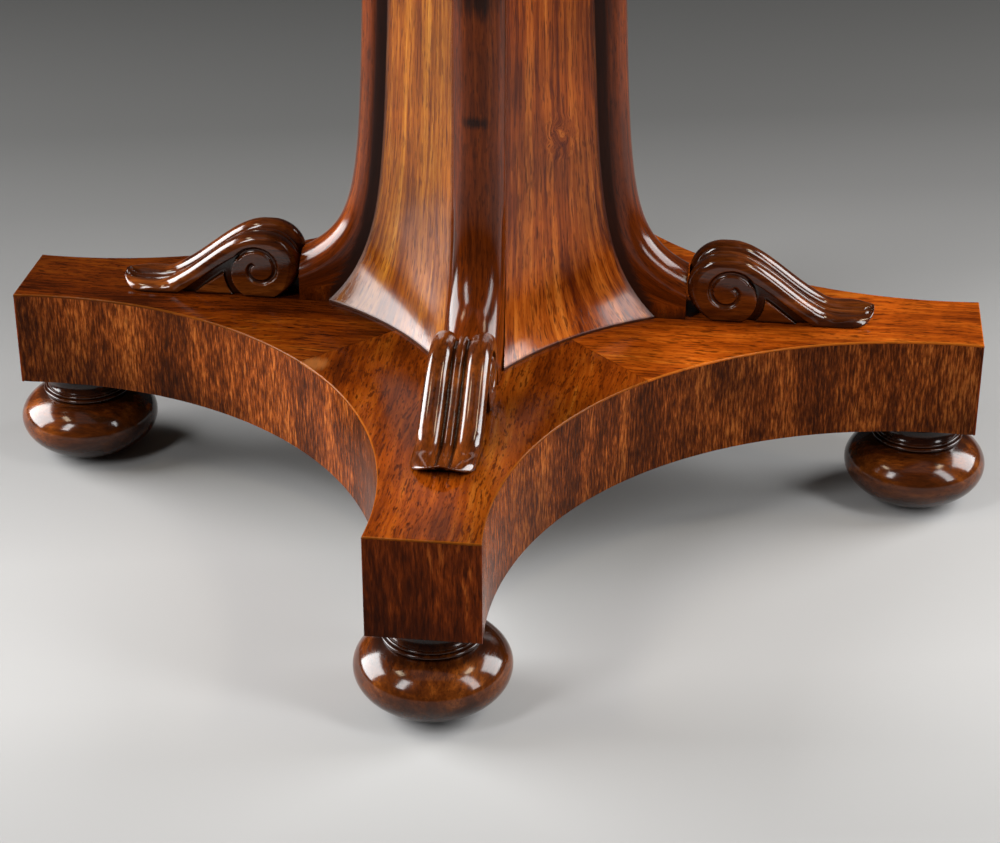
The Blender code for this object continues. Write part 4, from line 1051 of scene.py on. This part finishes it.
def metal(name, tones, polish):
    """Old metal: uneven tarnish, fine scratches along Y and dulled patches."""
    look, tree, shader = new_finish(name)
    spot = node(tree, "TexCoord", {}).outputs["Object"]
    cloud = noise(tree, spot, TARNISH_SIZE, 4.0)
    lines = noise(tree, vectors(tree, "MULTIPLY", spot, (1.0, SCRATCH_LONG, 1.0)), SCRATCH_SIZE, 2.0)
    tree.links.new(ramp(tree, spread(tree, cloud, *TARNISH_BAND), tones), shader.inputs["Base Color"])
    rough = spread(tree, cloud, *TARNISH_BAND, polish + TARNISH_DULL, polish)
    tree.links.new(rough, shader.inputs["Roughness"])
    bump = node(tree, "Bump", {"Strength": SCRATCH_RELIEF, "Distance": SCRATCH_DEEP, "Height": lines})
    tree.links.new(bump.outputs["Normal"], shader.inputs["Normal"])
    shader.inputs["Metallic"].default_value = 1.0
    return look


brass = metal("aged_brass", BRASS_TONES, polish=0.24)
settle("catch_keeper_let_in", softened("catch_keeper", KEEPER_EASE), brass, ["catch_keeper"])

# Bearers: two mahogany battens screwed under the top, bored for the hinge pins and cut away at
# the front. They swing with the top.
BEARER_EASE = 0.0008
for side in ("e", "w"):
    batten = softened("bearer_" + side, BEARER_EASE)
    settle("bearer_planed_" + side, batten, mahogany, ["bearer_" + side], body="top",
           crease=40.0)

# Bearer screws: countersunk steel screws with a filed slot, sunk in the bearers' undersides. They
# hold the bearers to the top's panel.
SCREW_EASE = 0.0002
SLOT_OVER = 1.2
STEEL_TONES = ((0.0, (0.10, 0.085, 0.07)), (0.5, (0.26, 0.25, 0.24)), (1.0, (0.40, 0.39, 0.38)))
SLOT_WIDE = 0.0011
SLOT_DEEP = 0.0008
steel = metal("blued_steel", STEEL_TONES, polish=0.34)
for side in ("e", "w"):
    for number in ("1", "2"):
        name = "bearer_" + side + "_screw_" + number
        low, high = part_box(name)
        screw = plain_object("screw_blank", softened(name, SCREW_EASE))
        bm = bmesh.new()
        bmesh.ops.create_cube(bm, size=1.0)
        bmesh.ops.scale(bm, verts=bm.verts, vec=((high.x - low.x) * SLOT_OVER, SLOT_WIDE, 2 * SLOT_DEEP))
        bmesh.ops.translate(bm, verts=bm.verts, vec=((low.x + high.x) / 2, (low.y + high.y) / 2, low.z))
        slot_cut = plain_object("slot_cut", bm)
        take_away(screw, slot_cut)
        bpy.context.view_layer.update()
        filed = bpy.data.meshes.new_from_object(screw.evaluated_get(bpy.context.evaluated_depsgraph_get()))
        bm = bmesh.new()
        bm.from_mesh(filed)
        for old in (screw, slot_cut):
            bpy.data.objects.remove(old)
        bpy.data.meshes.remove(filed)
        settle(name + "_slotted", bm, steel, [name], body="top", crease=30.0)

# Top panel: the pine ground of the top, planed and left bare below, where it shows between the
# bearers. Everything else of the top is glued to it.
PANEL_EASE = 0.0004
grain = timber("panel_pine", PINE_TONES, stretch=0.03, figure=20.0, streak=130.0, fine=0.35, dash_dark=0.15,
               pore=0.15, gloss=0.55, relief=0.25)
settle("top_panel_planed", softened("top_panel", PANEL_EASE), grain, ["top_panel"], body="top")

# Catch: a brass plate with a raised sleeve under the top's front, and the bolt that slides in it
# by a small turned knob.
CATCH_EASE = 0.0003
BOLT_SHARP = 25
settle("catch_plate_cast", softened("catch_plate", CATCH_EASE), brass, ["catch_plate"], body="top")
bolt = softened("catch_bolt", CATCH_EASE, BOLT_SHARP)
settle("catch_bolt_filed", bolt, brass, ["catch_bolt"], body="bolt")

# Squares: sixty-four veneers laid chequerwise on the panel, rosewood against maple. Each is cut
# from its own bit of the sheet, so tone and grain change from square to square.
SQUARE = 0.045
RANKS = 8
JOINT = 0.0001
TILE_EASE = 0.00012
TILE_BEND_SIZE = 26.0
TILE_BEND = 0.01
TILE_STRETCH = 0.06
TILE_FIGURE = 70.0
TILE_STREAK = 420.0
TILE_FINE = 0.4
TILE_BAND = (0.34, 0.66)
TILE_TONE = (0.78, 1.22)
TILE_VESSEL_LONG = 0.1
TILE_VESSEL_SIZE = 900.0
TILE_VESSEL_BAND = (0.6, 0.7)
TILE_SOOT = (0.4, 0.35, 0.35)
TILE_DULL = 0.06
TILE_RELIEF = 0.06
TILE_RELIEF_DEEP = 0.0002
MAPLE_TONES = ((0.0, (0.34, 0.195, 0.065)), (0.35, (0.46, 0.295, 0.122)),
               (0.7, (0.55, 0.38, 0.178)), (1.0, (0.62, 0.455, 0.24)))
SQUARE_TONES = ((0.0, (0.014, 0.005, 0.0025)), (0.35, (0.042, 0.013, 0.005)),
                (0.7, (0.085, 0.026, 0.009)), (1.0, (0.155, 0.052, 0.016)))
field_low, field_high = (corner.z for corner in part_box("dark_squares"))
deal = random.Random(64)


def place_of(face):
    """File and rank of the square that a face belongs to."""
    middle = face.calc_center_median()
    return round(middle.x / SQUARE - 0.5), round(middle.y / SQUARE - 0.5)


def squares(colour, depth):
    """Thirty-two separate tiles of one colour."""
    bm = bmesh.new()
    bmesh.ops.create_grid(bm, x_segments=RANKS, y_segments=RANKS, size=SQUARE * RANKS / 2)
    others = [face for face in bm.faces if sum(place_of(face)) % 2 != colour]
    bmesh.ops.delete(bm, geom=others, context="FACES")
    bmesh.ops.inset_individual(bm, faces=bm.faces[:], thickness=JOINT, use_even_offset=True)
    joints = [face for face in bm.faces if face.calc_area() < SQUARE ** 2 / 2]
    bmesh.ops.delete(bm, geom=joints, context="FACES")
    bmesh.ops.translate(bm, verts=bm.verts, vec=(0.0, 0.0, field_high))
    lower = bmesh.ops.extrude_face_region(bm, geom=bm.faces[:], use_keep_orig=True)["geom"]
    bmesh.ops.translate(bm, verts=points(lower), vec=(0.0, 0.0, -depth))
    bmesh.ops.recalc_face_normals(bm, faces=bm.faces)
    return bm


def tiled(bm):
    """Writes each tile's own grain map and tone."""
    chart = bm.loops.layers.uv.new("grain")
    shade = bm.faces.layers.float.new("tone")
    draws = {}
    for face in bm.faces:
        key = place_of(face)
        if key not in draws:
            draws[key] = (deal.uniform(-1, 1), deal.uniform(0, 3), deal.uniform(0, 3), deal.choice((0, 1)))
        tone, shift_x, shift_y, turned = draws[key]
        face[shade] = tone
        for loop in face.loops:
            x, y = loop.vert.co.x, loop.vert.co.y
            loop[chart].uv = (x + shift_x, y + shift_y) if turned else (y + shift_y, shift_x - x)
    return bm


def veneer_square(name, tones, gloss, pore):
    """Veneer whose grain follows each tile's own map, lighter or darker from tile to tile."""
    look, tree, shader = new_finish(name)
    chart = node(tree, "UVMap", {}, uv_map="grain").outputs["UV"]
    bend = vectors(tree, "SCALE", noise(tree, chart, TILE_BEND_SIZE, 2.0, "Color"), TILE_BEND)
    grain = vectors(tree, "ADD", chart, bend)
    fibre = vectors(tree, "MULTIPLY", grain, (TILE_STRETCH, 1.0, 1.0))
    broad = noise(tree, fibre, TILE_FIGURE, 4.0)
    fine = noise(tree, fibre, TILE_STREAK, 3.0)
    both = sums(tree, "ADD", sums(tree, "MULTIPLY", broad, 1.0 - TILE_FINE),
                sums(tree, "MULTIPLY", fine, TILE_FINE))
    colour = ramp(tree, spread(tree, both, *TILE_BAND), tones)
    tone = node(tree, "Attribute", {}, attribute_name="tone").outputs["Fac"]
    tone = spread(tree, tone, -1.0, 1.0, *TILE_TONE)
    colour = node(tree, "HueSaturation", {"Color": colour, "Value": tone}).outputs["Color"]
    vessel = vectors(tree, "MULTIPLY", grain, (TILE_VESSEL_LONG, 1.0, 1.0))
    vessel = spread(tree, noise(tree, vessel, TILE_VESSEL_SIZE, 1.0), *TILE_VESSEL_BAND, 0.0, pore)
    dark_fill = tuple(part * share for part, share in zip(tones[0][1], TILE_SOOT)) + (1.0,)
    tree.links.new(stain(tree, vessel, colour, dark_fill), shader.inputs["Base Color"])
    rough = spread(tree, fine, *GLOSS_BAND, gloss, gloss + TILE_DULL)
    tree.links.new(rough, shader.inputs["Roughness"])
    bump = node(tree, "Bump", {"Strength": TILE_RELIEF, "Distance": TILE_RELIEF_DEEP, "Height": fine})
    tree.links.new(bump.outputs["Normal"], shader.inputs["Normal"])
    return look


floor_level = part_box("light_squares")[0].z
dark_look = veneer_square("square_rosewood", SQUARE_TONES, gloss=0.2, pore=0.6)
light_look = veneer_square("square_maple", MAPLE_TONES, gloss=0.22, pore=0.25)
for colour, name, look, finish in ((0, "dark_squares", dark_look, "rosewood_square"),
                                   (1, "light_squares", light_look, "maple_square")):
    bm = squares(colour, field_high - floor_level)
    upper = [e for e in bm.edges if all(abs(v.co.z - field_high) < NEAR for v in e.verts)]
    eased(bm, upper, TILE_EASE, 2)
    if name == "dark_squares":
        ground = bmesh.ops.create_cube(bm, size=1.0)["verts"]
        depth = floor_level - GLUE - field_low
        bmesh.ops.scale(bm, verts=ground, vec=(SQUARE * RANKS, SQUARE * RANKS, depth))
        bmesh.ops.translate(bm, verts=ground, vec=(0.0, 0.0, field_low + depth / 2))
    settle(name + "_laid", tiled(bm), look, [name], body="top", crease=30.0, flat_above=FLAT_AREA)

# Stringing: a pale boxwood line let in round the field, between the squares and the border. It is
# mitred at the corners and scraped level.
BOXWOOD_TONES = ((0.0, (0.40, 0.235, 0.075)), (0.5, (0.58, 0.385, 0.15)), (1.0, (0.68, 0.49, 0.22)))
STRING = 0.003
field_half = SQUARE * RANKS / 2
string_half = field_half + STRING
string_line = [(field_half + GLUE / 2, field_low), (string_half, field_low), (string_half, field_high),
               (field_half + GLUE / 2, field_high)]
grain = timber("boxwood", BOXWOOD_TONES, stretch=0.05, figure=60.0, streak=420.0, dash_dark=0.2, pore=0.2,
               gloss=0.24, relief=0.05)
settle("stringing_let_in", framed(string_line, 4, False), grain, ["stringing"], body="top")

# Border: four lengths of rosewood crossbanding glued round the field, with the grain square to the
# edge and the corners mitred.
BORDER = 0.070
BORDER_FLAT = 0.001
panel_half = string_half + BORDER
for k, side in enumerate(SIDE_NAMES):
    line = [(string_half + GLUE / 2, field_low), (panel_half, field_low), (panel_half, field_high),
            (string_half + GLUE / 2, field_high)]
    bm = framed(line, 1, True)
    across = k * math.pi / 2
    grain = timber("border_rosewood_" + side, LEAF_TONES, turn=(0.0, 0.0, -across),
                   shift=(0.41 * k, 0.2 * k, 0.6), stretch=0.08, figure=34.0, dash_long=0.17, gloss=0.16,
                   patch=0.3, sheen=0.35)
    settle("border_banded_" + side, swung(bm, k), grain, ["border_" + side], body="top",
           flat_above=BORDER_FLAT)

# Moulded edge: four lengths of solid rosewood with a full round nose, mitred and glued round the
# panel. They cover its end grain.
EDGE = 0.017
EDGE_DEEP = 0.026
EDGE_RETURN = 0.006
NOSE_RADIUS = 0.0085
NOSE_DROP = 0.0105
NOSE_STEPS = 32
top_half = panel_half + EDGE
edge_inner = panel_half + GLUE / 2
edge_line = [(edge_inner, field_high - EDGE_DEEP), (top_half - EDGE_RETURN, field_high - EDGE_DEEP)]
for i in range(NOSE_STEPS + 1):
    angle = -math.pi / 2 + math.pi * i / NOSE_STEPS
    out = NOSE_RADIUS * (1 - math.cos(angle))
    edge_line.append((top_half - out, field_high - NOSE_DROP + NOSE_RADIUS * math.sin(angle)))
edge_line += [(top_half - NOSE_DROP, field_high), (edge_inner, field_high)]
for k, side in enumerate(SIDE_NAMES):
    bm = framed(edge_line, 1, True)
    grain = timber("edge_rosewood_" + side, RIB_TONES, turn=(0.0, 0.0, -k * math.pi / 2 - math.pi / 2),
                   shift=(0.3 * k, 0.15 * k, 0.8), stretch=0.05, figure=40.0, gloss=0.14)
    settle("edge_nosing_" + side, swung(bm, k), grain, ["edge_moulding_" + side],
           body="top", crease=30.0)

# Floor: a plain pale studio floor, darker behind, towards the sides and a little on the left: a painted
# falloff of light.
# It is pale to the camera and in the polish, and dull where it would only throw light back on the wood.
FLOOR_SIZE = 12.0
FLOOR_DULL = (0.03, 0.03, 0.03, 1.0)
FLOOR_NEAR = -0.4
FLOOR_FAR = 1.1
FLOOR_PAINTED_FALLOFF = ((0.0, (0.31, 0.31, 0.31)), (0.1, (0.395, 0.395, 0.395)), (0.2, (0.39, 0.39, 0.39)),
               (0.33, (0.245, 0.245, 0.243)), (0.46, (0.152, 0.152, 0.150)), (0.57, (0.099, 0.099, 0.098)),
               (0.69, (0.063, 0.063, 0.062)), (1.0, (0.038, 0.038, 0.037)))
RIGHT = Vector((0.6146, 0.7888, 0.0))
AHEAD = Vector((-0.7888, 0.6146, 0.0))
FLOOR_LEAN = 0.09
FLOOR_SIDE = 0.6
FLOOR_TILT = 0.19
FLOOR_EDGE = (0.75, 1.35)
FLOOR_EDGE_TONE = 0.35
FLOOR_ROUGH = 0.85
bm = bmesh.new()
bmesh.ops.create_grid(bm, x_segments=1, y_segments=1, size=FLOOR_SIZE)
floor = plain_object("studio_floor", bm)
look, tree, shader = new_finish("studio_floor")
spot = node(tree, "TexCoord", {}).outputs["Object"]
far = vectors(tree, "DOT_PRODUCT", spot, AHEAD - FLOOR_LEAN * RIGHT)
grey = ramp(tree, spread(tree, far, FLOOR_NEAR, FLOOR_FAR), FLOOR_PAINTED_FALLOFF)
aside = vectors(tree, "DOT_PRODUCT", spot, RIGHT)
tone = spread(tree, aside, -FLOOR_SIDE, FLOOR_SIDE, 1.0 - FLOOR_TILT, 1.0 + FLOOR_TILT)
wide = node(tree, "Math", {0: aside}, operation="ABSOLUTE").outputs[0]
tone = sums(tree, "MULTIPLY", tone, spread(tree, wide, *FLOOR_EDGE, 1.0, FLOOR_EDGE_TONE))
grey = node(tree, "HueSaturation", {"Color": grey, "Value": tone}).outputs["Color"]
path = node(tree, "LightPath", {}).outputs
seen = sums(tree, "MAXIMUM", path["Is Camera Ray"], sums(tree, "MAXIMUM", path["Is Glossy Ray"],
                                                         path["Is Transmission Ray"]))
tree.links.new(stain(tree, seen, FLOOR_DULL, grey), shader.inputs["Base Color"])
shader.inputs["Roughness"].default_value = FLOOR_ROUGH
floor.data.materials.append(look)

# Light: a large softbox on each side, a tall one either side of the camera, two small warm ones up
# on the sides and a faint broad one overhead, in a dim room.
AIM = Vector((0.0, 0.0, 0.2))
WARM = (1.0, 0.84, 0.60)
ROOM_GREY = (0.30, 0.30, 0.30, 1.0)
ROOM_LEVEL = 0.15


def softbox(name, right, ahead, up, wide, high, watts, tint=(1.0, 1.0, 1.0)):
    """One lamp, placed by the camera's right and ahead and turned to the table's foot."""
    lamp = bpy.data.lights.new(name, "AREA")
    lamp.shape = "RECTANGLE"
    lamp.size = wide
    lamp.size_y = high
    lamp.energy = watts
    lamp.color = tint
    made = bpy.data.objects.new(name, lamp)
    made.location = RIGHT * right + AHEAD * ahead + Vector((0.0, 0.0, up))
    made.rotation_euler = (AIM - made.location).to_track_quat("-Z", "Y").to_euler()
    bpy.context.scene.collection.objects.link(made)


softbox("softbox_left", -1.50, 0.27, 0.70, 1.10, 1.02, 65.0)
softbox("softbox_right", 1.60, 0.36, 0.92, 0.90, 1.05, 38.0)
softbox("softbox_front_left", -1.34, -1.34, 1.58, 0.42, 1.00, 22.0)
softbox("softbox_front_right", 1.54, -1.00, 1.30, 0.42, 1.55, 26.0)
softbox("warm_left", -1.24, -0.40, 1.96, 0.50, 0.22, 5.0, WARM)
softbox("warm_right", 1.27, -0.27, 1.96, 0.50, 0.22, 5.0, WARM)
softbox("softbox_over", 0.0, -0.3, 2.60, 2.00, 2.00, 4.0)
world = bpy.data.worlds.new("grey_room")
world.use_nodes = True
room = world.node_tree.nodes["Background"]
room.inputs["Color"].default_value = ROOM_GREY
room.inputs["Strength"].default_value = ROOM_LEVEL
bpy.context.scene.world = world

# Camera: a long lens held at the height of the table's top and looking down at the front arm. Its
# place was fitted to the photo by the platform's corners.
LENS = 85.91
SENSOR = 36.0
CAMERA_AT = (1.0712, -0.8301, 0.7426)
CAMERA_LOOK = Vector((-0.69886, 0.54452, -0.4639))
lens = bpy.data.cameras.new("camera")
lens.lens = LENS
lens.sensor_width = SENSOR
camera = bpy.data.objects.new("camera", lens)
camera.location = CAMERA_AT
camera.rotation_euler = CAMERA_LOOK.to_track_quat("-Z", "Y").to_euler()
bpy.context.scene.collection.objects.link(camera)
bpy.context.scene.camera = camera
bpy.context.scene.view_settings.view_transform = "Standard"
